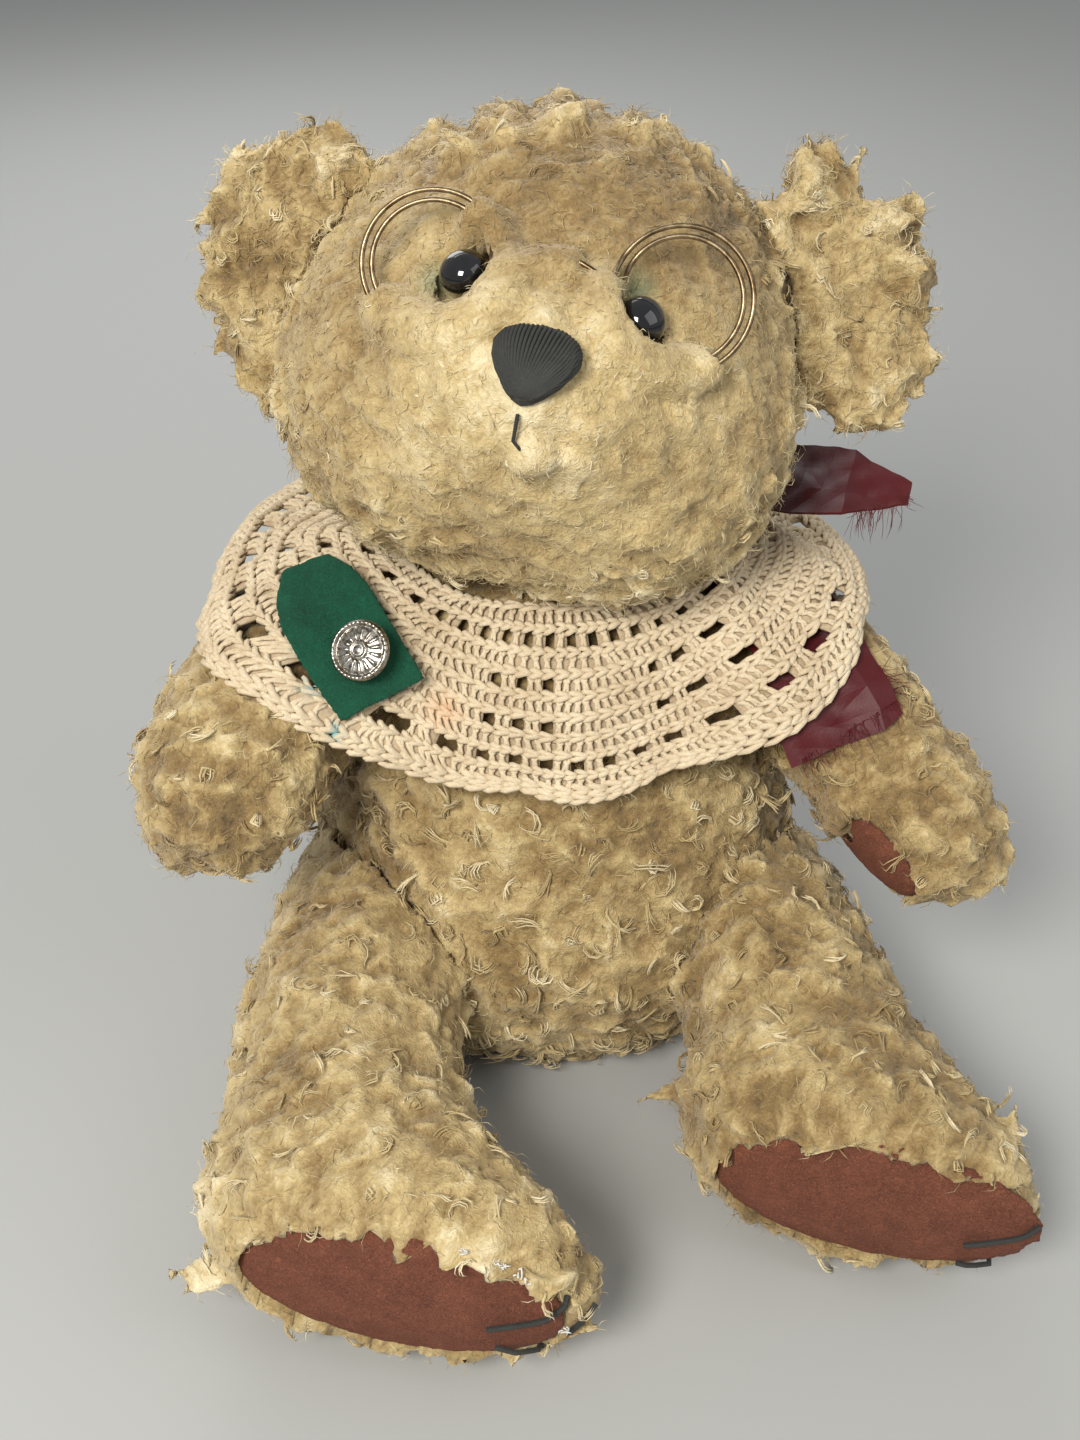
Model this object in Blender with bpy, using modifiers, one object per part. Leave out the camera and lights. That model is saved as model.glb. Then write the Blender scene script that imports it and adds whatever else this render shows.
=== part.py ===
"""Seated plush teddy bear with wire spectacles, a crocheted collar, a ribbon and a felt tag with a button.

Metres, +Z up. The origin is the middle of the torso's flat seat, and the bear faces -Y.
Left and right are the bear's own, so its left side is at +X.
"""

import math

import bmesh
import bpy
from mathutils import Matrix, Vector
from mathutils.bvhtree import BVHTree

# Clearances
FIT_GAP = 0.0003
STITCH_GAP = 0.0008
DRAPE_GAP = 0.0011
DRAPE_CLEAR = 0.0007
CLEARING_PASSES = 12
CLEARING_STEP = 0.5
CELL_SAMPLES = 4

# How far outside a piece a ray towards it starts
PROBE_FAR = 0.3
PROBE_NEAR = 0.05

# Torso: a belly and a chest, leaning back on a flat seat
TORSO_RECLINE = math.radians(8)
BELLY_CENTRE = Vector((0.0, 0.0, 0.052))
BELLY_RADII = (0.061, 0.049, 0.060)
SEAT_CENTRE = Vector((0.0, -0.002, 0.028))
SEAT_RADII = (0.057, 0.050, 0.041)
CHEST_CENTRE = Vector((0.0, 0.003, 0.096))
CHEST_RADII = (0.052, 0.045, 0.041)
TORSO_BLEND = 0.018

# Head: a skull with cheeks and a muzzle, tilted back and to one side
HEAD_CENTRE = Vector((-0.002, 0.012, 0.1745))
HEAD_PITCH = math.radians(29)
HEAD_ROLL = math.radians(14)
HEAD_YAW = math.radians(-1.8)
SKULL_CENTRE = Vector((0.0, 0.004, 0.004))
SKULL_RADII = (0.0545, 0.049, 0.052)
CHEEK_CENTRE = Vector((0.019, -0.010, -0.014))
CHEEK_RADII = (0.038, 0.037, 0.036)
MUZZLE_CENTRE = Vector((0.0, -0.034, -0.010))
MUZZLE_RADII = (0.030, 0.031, 0.025)
HEAD_BLEND = 0.016

# Ears: flattened pads with a shallow dish in front
EAR_THICKNESS = 0.017
EAR_DISH = 0.004
EAR_RIGHT_CENTRE = Vector((-0.057, 0.018, 0.194))
EAR_RIGHT_HALF_SIZE = (0.023, 0.030)
EAR_RIGHT_LEAN = math.radians(4)
EAR_RIGHT_TURN = math.radians(-12)
EAR_LEFT_CENTRE = Vector((0.064, 0.018, 0.188))
EAR_LEFT_HALF_SIZE = (0.022, 0.033)
EAR_LEFT_LEAN = math.radians(-12)
EAR_LEFT_TURN = math.radians(12)
EAR_PITCH = math.radians(25)

# Eyes: glossy domes, each with a stem that goes into the head
EYE_DIAMETER = 0.0098
EYE_DEPTH = 0.0080
EYE_PROUD = 0.0030
EYE_STEM_DIAMETER = 0.0030
EYE_STEM_LENGTH = 0.0120
EYE_STEM_SIDES = 10
EYE_SIDE = 0.0188
EYE_HEIGHT = 0.0080

# Nose: a thick rounded triangle of stitched yarn, and the mouth thread below it
NOSE_WIDTH = 0.0200
NOSE_HEIGHT = 0.0165
NOSE_THICKNESS = 0.0080
NOSE_PROUD = 0.0026
NOSE_TAPER = 0.42
NOSE_WIDEST_AT = 0.4
NOSE_RISE = -0.0075
MOUTH_THREAD_DIAMETER = 0.0008
MOUTH_TOP = -0.0175
MOUTH_CORNER = Vector((0.0003, 0.0, -0.0225))
MOUTH_END = Vector((0.0045, 0.0, -0.0255))

# Soles: felt pads on the ends of the feet, which stand past them by a margin at each of the last rings
SOLE_HALF_LENGTH = 0.0365
SOLE_HALF_HEIGHT = 0.0180
SOLE_BULGE = 0.0042
SOLE_PROUD = 0.0016
FOOT_MARGINS_RIGHT = (0.0135, 0.0120, 0.0045)
FOOT_MARGINS_LEFT = (0.0085, 0.0065, 0.0005)

# Legs: each station is the ring's centre, half width, half height and turn about +Z
LEG_RIGHT_STATIONS = (
    ((-0.040, 0.018, 0.034), 0.018, 0.021, 0),
    ((-0.042, 0.004, 0.033), 0.027, 0.029, 0),
    ((-0.047, -0.028, 0.032), 0.030, 0.0315, 4),
    ((-0.050, -0.058, 0.030), 0.0295, 0.029, 0),
    ((-0.049, -0.080, 0.028), 0.0300, 0.0275, -5),
    ((-0.042, -0.096, 0.028), 0.0410, 0.0275, -10),
    ((-0.035, -0.110, 0.028), SOLE_HALF_LENGTH + FOOT_MARGINS_RIGHT[0], 0.0275, -12),
    ((-0.034, -0.121, 0.028), SOLE_HALF_LENGTH + FOOT_MARGINS_RIGHT[1], 0.0260, -12),
    ((-0.034, -0.127, 0.028), SOLE_HALF_LENGTH + FOOT_MARGINS_RIGHT[2], 0.0215, -12),
)
LEG_LEFT_STATIONS = (
    ((0.040, 0.018, 0.034), 0.018, 0.021, 0),
    ((0.043, 0.004, 0.033), 0.027, 0.029, 4),
    ((0.051, -0.026, 0.032), 0.029, 0.0315, 12),
    ((0.057, -0.050, 0.030), 0.0285, 0.029, 8),
    ((0.060, -0.063, 0.028), 0.0310, 0.0275, 0),
    ((0.063, -0.075, 0.028), 0.0390, 0.0275, -10),
    ((0.065, -0.087, 0.028), SOLE_HALF_LENGTH + FOOT_MARGINS_LEFT[0], 0.0275, -15),
    ((0.067, -0.097, 0.028), SOLE_HALF_LENGTH + FOOT_MARGINS_LEFT[1], 0.0260, -15),
    ((0.068, -0.103, 0.028), SOLE_HALF_LENGTH + FOOT_MARGINS_LEFT[2], 0.0215, -15),
)
HIP_CAP_REACH = 0.5
SOLE_CAP_REACH = 0.45

# Arms: each station is the ring's centre and radius
ARM_RIGHT_STATIONS = (
    ((-0.038, 0.014, 0.109), 0.0150),
    ((-0.050, 0.010, 0.110), 0.0235),
    ((-0.062, -0.006, 0.106), 0.0245),
    ((-0.070, -0.024, 0.099), 0.0245),
    ((-0.075, -0.040, 0.094), 0.0245),
    ((-0.077, -0.052, 0.091), 0.0200),
    ((-0.078, -0.059, 0.089), 0.0120),
)
ARM_LEFT_STATIONS = (
    ((0.038, 0.013, 0.106), 0.0150),
    ((0.049, 0.008, 0.105), 0.0230),
    ((0.061, -0.005, 0.098), 0.0225),
    ((0.074, -0.017, 0.087), 0.0205),
    ((0.085, -0.028, 0.078), 0.0195),
    ((0.094, -0.036, 0.071), 0.0165),
    ((0.099, -0.041, 0.067), 0.0100),
)
ARM_CAP_REACH = 0.5
PAW_PAD_HALF_LENGTH = 0.0165
PAW_PAD_HALF_WIDTH = 0.0110
PAW_PAD_BULGE = 0.0040
PAW_PAD_PROUD = 0.0012
PAW_RIGHT_STATION = 4
PAW_RIGHT_FACING = Vector((-0.55, -0.30, -0.78))
PAW_LEFT_STATION = 4
PAW_LEFT_FACING = Vector((-0.35, -0.75, -0.56))

# Claws: stitches over the toe end of each sole, between places that are shares of the sole's half sizes
CLAW_DIAMETER = 0.0013
CLAW_STEPS = 8
CLAW_WRAP = math.radians(50)
CLAW_AIM_DEPTH = 0.010
CLAWS_RIGHT = (
    ((0.55, -0.08), (1.10, 0.33)),
    ((0.59, -0.44), (0.97, -0.69)),
    ((1.12, 0.03), (1.11, -0.36)),
)
CLAWS_LEFT = (
    ((0.55, -0.22), (1.00, 0.17)),
    ((0.53, -0.61), (0.92, -0.78)),
)

# Spectacles: one wire with two turns round each eye and a bridge, tilted on the face
WIRE_DIAMETER = 0.0011
RIM_RADIUS = 0.0137
RIM_SIDE = 0.0245
RIM_PLANE = -0.0465
RIM_TURN_SPREAD = 0.0040
RIM_TURN_PITCH = 0.0002
RIM_TURNS = 2.0
RIM_STEPS = 18
SPECTACLES_HEIGHT = 0.0108
SPECTACLES_TILT = math.radians(-6.5)
BRIDGE_RISE = 0.0035
BRIDGE_STEPS = 6

# Collar: a crocheted ring draped over the chest and shoulders, open where the ribbon ties it
COLLAR_CENTRE = Vector((0.0, 0.004, 0.070))
COLLAR_INNER_POLAR = math.radians(33)
COLLAR_INNER_FRONT_POLAR = math.radians(20.5)
COLLAR_SIDE_POLAR = math.radians(54)
COLLAR_FRONT_POLAR = math.radians(64)
COLLAR_BACK_POLAR = math.radians(57)
COLLAR_THICKNESS = 0.0020
COLLAR_RIDGE = 0.0005
COLLAR_PAIRS = 32
COLLAR_GAP_SHARE = 0.42
COLLAR_ROWS = 9
COLLAR_EYELET_ROWS = (1, 7)
COLLAR_FILET_ROWS = (3, 5)
COLLAR_REPEAT = 6
COLLAR_FILET_PAIRS = 3
COLLAR_SCALLOPS = 8
COLLAR_SCALLOP_TURN = math.radians(-57)
COLLAR_SCALLOP_DEPTH = math.radians(2.8)
COLLAR_SCALLOP_POWER = 4
COLLAR_OPENING_AT = math.radians(38)
COLLAR_OPENING = math.radians(15)
COLLAR_FLARE_RIGHT = 0.095
COLLAR_FLARE_LEFT = 0.087
COLLAR_FLARE_FRONT = 0.4
COLLAR_FLARE_RISE = 2.5
COLLAR_FLARE_SIDE = 1.3
COLLAR_FLARE_POWER = 0.5
COLLAR_SMOOTHING = 10

# Ribbon: a knot in the collar's opening, a tail that stands out and a tail that hangs under the collar
RIBBON_WIDTH = 0.0250
RIBBON_THICKNESS = 0.0006
KNOT_POLAR = math.radians(34)
KNOT_RADIUS = 0.0042
KNOT_SHARE = 0.20
UPPER_TAIL = (
    (Vector((0.0380, 0.0260, 0.1365)), 0.45, 35),
    (Vector((0.0530, 0.0160, 0.1420)), 0.85, 20),
    (Vector((0.0680, 0.0100, 0.1440)), 1.00, 10),
    (Vector((0.0822, 0.0080, 0.1418)), 0.30, 4),
)
LOWER_TAIL = (
    (Vector((0.0370, 0.0100, 0.1200)), 0.60, -25),
    (Vector((0.0480, -0.0060, 0.1150)), 0.95, 5),
    (Vector((0.0560, -0.0180, 0.1060)), 1.05, 20),
    (Vector((0.0620, -0.0275, 0.0965)), 1.12, 28),
)
TAIL_STRANDS = 3
TAIL_STEPS = 3
TAIL_START_SHARE = 0.2
TAIL_SMOOTHING = 3

# Felt tag on the collar, with a metal button whose shank goes through it
TAG_TOP = Vector((-0.0560, -0.0070, 0.1310))
TAG_BOTTOM = Vector((-0.0375, -0.0320, 0.1105))
TAG_FACING = Vector((-0.25, -0.75, 0.60))
TAG_WIDTH = 0.0195
TAG_TOP_SHARE = 0.5
TAG_POINT_SHARE = 0.22
TAG_SMOOTHING = 7
TAG_THICKNESS = 0.0012
TAG_CLEAR = FIT_GAP / 3
TAG_HOLE_GAP = FIT_GAP / 2
TAG_GRID = (4, 6)
BUTTON_AT = 0.71
BUTTON_SIDE = 0.0022
BUTTON_DIAMETER = 0.0139
BUTTON_THICKNESS = 0.0024
BUTTON_RIM_WIDTH = 0.0014
BUTTON_SHANK_DIAMETER = 0.0040
BUTTON_SIDES = 22

# Mesh fineness
TORSO_GRID = (24, 15)
HEAD_GRID = (26, 16)
EAR_GRID = (16, 9)
PAD_GRID = (18, 6)
EYE_GRID = (12, 6)
NOSE_GRID = (16, 8)
KNOT_GRID = (10, 7)
LIMB_SIDES = 8

COLOURS = {
    "plush": ((0.62, 0.47, 0.27), 0.95, 0.0),
    "felt_brown": ((0.22, 0.055, 0.03), 0.95, 0.0),
    "eye_black": ((0.006, 0.006, 0.007), 0.08, 0.0),
    "nose_yarn": ((0.035, 0.036, 0.038), 0.85, 0.0),
    "wire": ((0.30, 0.20, 0.11), 0.35, 1.0),
    "crochet": ((0.80, 0.62, 0.42), 0.9, 0.0),
    "ribbon": ((0.20, 0.010, 0.022), 0.45, 0.0),
    "felt_green": ((0.0, 0.15, 0.07), 0.95, 0.0),
    "button_metal": ((0.45, 0.42, 0.36), 0.25, 1.0),
}


def clear_scene():
    for obj in list(bpy.data.objects):
        bpy.data.objects.remove(obj, do_unlink=True)


def new_collection(name):
    collection = bpy.data.collections.new(name)
    bpy.context.scene.collection.children.link(collection)
    return collection


def make_material(name):
    colour, roughness, metallic = COLOURS[name]
    material = bpy.data.materials.new(name)
    material.use_nodes = True
    shader = material.node_tree.nodes["Principled BSDF"]
    shader.inputs["Base Color"].default_value = (*colour, 1.0)
    shader.inputs["Roughness"].default_value = roughness
    shader.inputs["Metallic"].default_value = metallic
    return material


def add_object(name, bm, collection, material=None):
    """Turns a bmesh into an object of triangles with outward normals."""
    bmesh.ops.recalc_face_normals(bm, faces=bm.faces)
    bmesh.ops.triangulate(bm, faces=bm.faces)
    mesh = bpy.data.meshes.new(name)
    bm.to_mesh(mesh)
    bm.free()
    mesh.shade_smooth()
    obj = bpy.data.objects.new(name, mesh)
    collection.objects.link(obj)
    if material:
        mesh.materials.append(material)
    return obj


def evaluated_bmesh(obj):
    """The object's mesh with its modifiers, in world space."""
    graph = bpy.context.evaluated_depsgraph_get()
    graph.update()
    bm = bmesh.new()
    bm.from_object(obj, graph)
    bm.transform(obj.matrix_world)
    return bm


def smooth_max(a, b, blend):
    share = max(blend - abs(a - b), 0.0) / blend
    return max(a, b) + share * share * blend / 4


def exit_distance(direction, centre, radii):
    """How far a ray from the origin goes before it leaves an ellipsoid, or 0 where it misses it."""
    d = Vector((direction[i] / radii[i] for i in range(3)))
    c = Vector((centre[i] / radii[i] for i in range(3)))
    half_b = d.dot(c)
    root = half_b * half_b - d.length_squared * (c.length_squared - 1)
    if root < 0 or half_b + math.sqrt(max(root, 0)) < 0:
        return 0.0
    return (half_b + math.sqrt(root)) / d.length_squared


def blob(grid, ellipsoids, blend):
    """A sphere whose points move out to the blended surface of some ellipsoids round the origin."""
    bm = bmesh.new()
    bmesh.ops.create_uvsphere(bm, u_segments=grid[0], v_segments=grid[1], radius=1.0)
    for vert in bm.verts:
        direction = vert.co.normalized()
        reach = 0.0
        for centre, radii in ellipsoids:
            reach = smooth_max(reach, exit_distance(direction, centre, radii), blend)
        vert.co = direction * reach
    return bm


def cut_flat(bm, height):
    """Cuts off what lies under a level plane and closes the cut."""
    everything = bm.verts[:] + bm.edges[:] + bm.faces[:]
    cut = bmesh.ops.bisect_plane(
        bm, geom=everything, plane_co=(0, 0, height), plane_no=(0, 0, -1), clear_outer=True
    )
    rim = [item for item in cut["geom_cut"] if isinstance(item, bmesh.types.BMEdge)]
    bmesh.ops.contextual_create(bm, geom=rim)


def loft(rings, caps):
    """Joins rings of points with quads, and closes each end on a point."""
    bm = bmesh.new()
    rows = [[bm.verts.new(point) for point in ring] for ring in rings]
    sides = len(rings[0])
    for row, following in zip(rows, rows[1:]):
        for i in range(sides):
            j = (i + 1) % sides
            bm.faces.new((row[i], row[j], following[j], following[i]))
    for row, cap in zip((rows[0], rows[-1]), caps):
        tip = bm.verts.new(cap)
        for i in range(sides):
            bm.faces.new((row[i], row[(i + 1) % sides], tip))
    return bm


def smoothed(cage):
    """The cage after one level of Subdivision Surface."""
    mesh = bpy.data.meshes.new("cage")
    cage.to_mesh(mesh)
    cage.free()
    holder = bpy.data.objects.new("cage", mesh)
    bpy.context.scene.collection.objects.link(holder)
    modifier = holder.modifiers.new("Smooth", "SUBSURF")
    modifier.levels = 1
    modifier.render_levels = 1
    bm = evaluated_bmesh(holder)
    bpy.data.objects.remove(holder, do_unlink=True)
    return bm


def make_cutter(obj, collection, gap):
    """A copy of a piece, grown by a gap, that cuts what would overlap it."""
    bm = evaluated_bmesh(obj)
    bm.normal_update()
    moved = [vert.co + vert.normal * gap for vert in bm.verts]
    for vert, place in zip(bm.verts, moved):
        vert.co = place
    cutter = add_object(obj.name + "_cutter", bm, collection)
    cutter.hide_render = True
    cutter.display_type = "WIRE"
    return cutter


def cut_by(obj, cutter):
    modifier = obj.modifiers.new("Clear_" + cutter.name, "BOOLEAN")
    modifier.operation = "DIFFERENCE"
    modifier.solver = "EXACT"
    modifier.object = cutter


def head_matrix():
    turn = Matrix.Rotation(HEAD_YAW, 4, "Z") @ Matrix.Rotation(-HEAD_PITCH, 4, "X")
    return Matrix.Translation(HEAD_CENTRE) @ turn @ Matrix.Rotation(HEAD_ROLL, 4, "Y")


def head_ellipsoids():
    mirrored = Vector((-CHEEK_CENTRE.x, CHEEK_CENTRE.y, CHEEK_CENTRE.z))
    return (
        (SKULL_CENTRE, SKULL_RADII),
        (CHEEK_CENTRE, CHEEK_RADII),
        (mirrored, CHEEK_RADII),
        (MUZZLE_CENTRE, MUZZLE_RADII),
    )


def make_torso(collection, material):
    lean = Matrix.Rotation(-TORSO_RECLINE, 4, "X")
    bm = blob(
        TORSO_GRID,
        (
            (Vector(), BELLY_RADII),
            (SEAT_CENTRE - BELLY_CENTRE, SEAT_RADII),
            (CHEST_CENTRE - BELLY_CENTRE, CHEST_RADII),
        ),
        TORSO_BLEND,
    )
    bm.transform(lean @ Matrix.Translation(BELLY_CENTRE))
    cut_flat(bm, 0.0)
    return add_object("torso", bm, collection, material)


def make_head(collection, material):
    bm = blob(HEAD_GRID, head_ellipsoids(), HEAD_BLEND)
    bm.transform(head_matrix())
    return add_object("head", bm, collection, material)


def make_ear(name, centre, half_size, lean, turn, collection, material):
    bm = bmesh.new()
    bmesh.ops.create_uvsphere(bm, u_segments=EAR_GRID[0], v_segments=EAR_GRID[1], radius=1.0)
    bm.transform(Matrix.Rotation(math.radians(90), 4, "X"))
    for vert in bm.verts:
        side, depth, height = vert.co
        reach = min(1.0, math.hypot(side, height))
        dish = EAR_DISH * (1 - reach * reach) if depth < 0 else 0.0
        vert.co = (side * half_size[0], depth * EAR_THICKNESS / 2 + dish, height * half_size[1])
    turned = Matrix.Rotation(turn, 4, "Z") @ Matrix.Rotation(-EAR_PITCH, 4, "X")
    bm.transform(Matrix.Translation(centre) @ turned @ Matrix.Rotation(lean, 4, "Y"))
    return add_object(name, bm, collection, material)


def make_leg(name, stations, collection, material):
    """A leg that lies forward, from the hip to the sole, with the foot lying on its side."""
    rings = []
    for centre, half_width, half_height, turn in stations:
        angle = math.radians(turn)
        across = Vector((math.cos(angle), math.sin(angle), 0)) * half_width
        up = Vector((0, 0, half_height))
        ring = []
        for i in range(LIMB_SIDES):
            round_angle = 2 * math.pi * i / LIMB_SIDES
            ring.append(Vector(centre) + across * math.cos(round_angle) + up * math.sin(round_angle))
        rings.append(ring)
    caps = []
    for end, inner, reach in ((0, 1, HIP_CAP_REACH), (-1, -2, SOLE_CAP_REACH)):
        step = Vector(stations[end][0]) - Vector(stations[inner][0])
        caps.append(Vector(stations[end][0]) + step * reach)
    bm = smoothed(loft(rings, caps))
    cut_flat(bm, 0.0)
    return add_object(name, bm, collection, material)


def make_arm(name, stations, collection, material):
    rings = []
    centres = [Vector(centre) for centre, _ in stations]
    for i, (_, radius) in enumerate(stations):
        along = (centres[min(i + 1, len(centres) - 1)] - centres[max(i - 1, 0)]).normalized()
        across = along.cross(Vector((0, 0, 1))).normalized()
        up = across.cross(along)
        ring = []
        for k in range(LIMB_SIDES):
            angle = 2 * math.pi * k / LIMB_SIDES
            ring.append(centres[i] + (across * math.cos(angle) + up * math.sin(angle)) * radius)
        rings.append(ring)
    caps = (
        centres[0] + (centres[0] - centres[1]) * ARM_CAP_REACH,
        centres[-1] + (centres[-1] - centres[-2]) * ARM_CAP_REACH,
    )
    return add_object(name, smoothed(loft(rings, caps)), collection, material)


def lens(grid, half_length, half_width, bulge):
    """A flattened sphere: long in X, wide in Z, thin in Y."""
    bm = bmesh.new()
    bmesh.ops.create_uvsphere(bm, u_segments=grid[0], v_segments=grid[1], radius=1.0)
    bm.transform(Matrix.Rotation(math.radians(90), 4, "X"))
    bm.transform(Matrix.Diagonal((half_length, bulge, half_width, 1)))
    return bm


def tree_of(objects):
    """A search tree over the surfaces of some objects."""
    whole = bmesh.new()
    for obj in objects:
        bm = evaluated_bmesh(obj)
        mesh = bpy.data.meshes.new("probe")
        bm.to_mesh(mesh)
        bm.free()
        whole.from_mesh(mesh)
        bpy.data.meshes.remove(mesh)
    tree = BVHTree.FromBMesh(whole)
    whole.free()
    return tree


def surface_hit(tree, origin, direction):
    place, normal, _, _ = tree.ray_cast(origin, direction)
    return place, normal


def frame_on(place, outward, along):
    """A matrix at a place whose -Y points outward and whose X runs along the given direction."""
    y_axis = -outward.normalized()
    x_axis = (along - y_axis * along.dot(y_axis)).normalized()
    z_axis = x_axis.cross(y_axis)
    turned = Matrix((x_axis, y_axis, z_axis)).transposed().to_4x4()
    return Matrix.Translation(place) @ turned


def face_hit(head_tree, side, height):
    """Where the face is at a place beside and above the middle of the head, and its normal there."""
    frame = head_matrix()
    origin = frame @ Vector((side, -PROBE_FAR, height))
    return surface_hit(head_tree, origin, frame.to_3x3() @ Vector((0, 1, 0)))


def wire(name, points, diameter, collection, material):
    """A round wire or thread along some points, as a mesh."""
    curve = bpy.data.curves.new(name, "CURVE")
    curve.dimensions = "3D"
    curve.bevel_depth = diameter / 2
    curve.bevel_resolution = 1
    curve.use_fill_caps = True
    spline = curve.splines.new("POLY")
    spline.points.add(len(points) - 1)
    for target, place in zip(spline.points, points):
        target.co = (*place, 1.0)
    holder = bpy.data.objects.new(name + "_path", curve)
    collection.objects.link(holder)
    graph = bpy.context.evaluated_depsgraph_get()
    graph.update()
    mesh = bpy.data.meshes.new_from_object(holder.evaluated_get(graph))
    bpy.data.objects.remove(holder, do_unlink=True)
    bm = bmesh.new()
    bm.from_mesh(mesh)
    bmesh.ops.remove_doubles(bm, verts=bm.verts, dist=1e-6)
    return add_object(name, bm, collection, material)


def sole_frame(stations):
    """A frame at the middle of the sole, with X along the sole towards the toes."""
    end, inner = Vector(stations[-1][0]), Vector(stations[-2][0])
    angle = math.radians(stations[-1][3])
    along = Vector((math.cos(angle), math.sin(angle), 0))
    outward = Vector((math.sin(angle), -math.cos(angle), 0))
    return frame_on(end + (end - inner) * SOLE_CAP_REACH, outward, along)


def make_sole_pad(name, stations, leg_cutter, collection, material):
    frame = sole_frame(stations)
    bm = lens(PAD_GRID, SOLE_HALF_LENGTH, SOLE_HALF_HEIGHT, SOLE_BULGE)
    bm.transform(frame @ Matrix.Translation((0, SOLE_BULGE - SOLE_PROUD, 0)))
    pad = add_object(name, bm, collection, material)
    cut_by(pad, leg_cutter)
    return pad


def make_paw_pad(name, stations, station, facing, arm, arm_cutter, collection, material):
    centre = Vector(stations[station][0])
    along = (Vector(stations[station + 1][0]) - Vector(stations[station - 1][0])).normalized()
    outward = (facing - along * facing.dot(along)).normalized()
    place, _ = surface_hit(tree_of([arm]), centre + outward * PROBE_NEAR, -outward)
    bm = lens(PAD_GRID, PAW_PAD_HALF_LENGTH, PAW_PAD_HALF_WIDTH, PAW_PAD_BULGE)
    depth = PAW_PAD_BULGE - PAW_PAD_PROUD
    bm.transform(frame_on(place, outward, along) @ Matrix.Translation((0, depth, 0)))
    pad = add_object(name, bm, collection, material)
    cut_by(pad, arm_cutter)
    return pad


def make_eye(name, side, head_tree, collection, cutters, material):
    """A dome and its stem in one piece."""
    place, normal = face_hit(head_tree, side, EYE_HEIGHT)
    up = head_matrix().to_3x3() @ Vector((0, 0, 1))
    frame = frame_on(place, normal, up.cross(normal))
    centre_depth = EYE_DEPTH / 2 - EYE_PROUD
    dome = lens(EYE_GRID, EYE_DIAMETER / 2, EYE_DIAMETER / 2, EYE_DEPTH / 2)
    dome.transform(frame @ Matrix.Translation((0, centre_depth, 0)))
    eye = add_object(name, dome, collection, material)
    stem = bmesh.new()
    bmesh.ops.create_cone(
        stem,
        cap_ends=True,
        segments=EYE_STEM_SIDES,
        radius1=EYE_STEM_DIAMETER / 2,
        radius2=EYE_STEM_DIAMETER / 2,
        depth=EYE_STEM_LENGTH,
    )
    stem.transform(Matrix.Rotation(math.radians(90), 4, "X"))
    stem.transform(frame @ Matrix.Translation((0, centre_depth + EYE_STEM_LENGTH / 2, 0)))
    stem_piece = add_object(name + "_stem", stem, cutters)
    stem_piece.hide_render = True
    stem_piece.display_type = "WIRE"
    modifier = eye.modifiers.new("Stem", "BOOLEAN")
    modifier.operation = "UNION"
    modifier.solver = "EXACT"
    modifier.object = stem_piece
    return eye


def make_nose(head_tree, head_cutter, collection, material):
    place, normal = face_hit(head_tree, 0.0, NOSE_RISE)
    up = head_matrix().to_3x3() @ Vector((0, 0, 1))
    bm = lens(NOSE_GRID, 1.0, 1.0, NOSE_THICKNESS / 2)
    for vert in bm.verts:
        side, depth, height = vert.co
        widening = (1 + NOSE_TAPER * height) / (1 + NOSE_TAPER * NOSE_WIDEST_AT)
        vert.co = (side * widening * NOSE_WIDTH / 2, depth, height * NOSE_HEIGHT / 2)
    depth = NOSE_THICKNESS / 2 - NOSE_PROUD
    bm.transform(frame_on(place, normal, up.cross(normal)) @ Matrix.Translation((0, depth, 0)))
    nose = add_object("nose", bm, collection, material)
    cut_by(nose, head_cutter)
    return nose


def make_mouth(head, collection, cutters, material):
    """The thread that runs down from the nose and then to one side."""
    around_head = tree_of([make_cutter(head, cutters, MOUTH_THREAD_DIAMETER / 2 + STITCH_GAP)])
    top = Vector((0.0, 0.0, MOUTH_TOP))
    corners = (top, top.lerp(MOUTH_CORNER, 0.5), MOUTH_CORNER, MOUTH_CORNER.lerp(MOUTH_END, 0.5), MOUTH_END)
    points = []
    for corner in corners:
        place, _ = face_hit(around_head, corner.x, corner.z)
        points.append(place)
    return wire("mouth_stitch", points, MOUTH_THREAD_DIAMETER, collection, material)


def make_claw(name, start, end, stations, foot_tree, collection, material):
    frame = sole_frame(stations)
    points = []
    for i in range(CLAW_STEPS):
        share = i / (CLAW_STEPS - 1)
        along = SOLE_HALF_LENGTH * (start[0] + (end[0] - start[0]) * share)
        across = SOLE_HALF_HEIGHT * (start[1] + (end[1] - start[1]) * share)
        turned = CLAW_WRAP * share
        outward = frame.to_3x3() @ Vector((math.sin(turned), -math.cos(turned), 0))
        aim = along - CLAW_AIM_DEPTH * math.tan(turned)
        spot = frame @ Vector((aim, CLAW_AIM_DEPTH, across))
        place, _ = surface_hit(foot_tree, spot + outward * PROBE_NEAR, -outward)
        points.append(place or foot_tree.find_nearest(spot + outward * CLAW_AIM_DEPTH)[0])
    return wire(name, points, CLAW_DIAMETER, collection, material)


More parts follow.
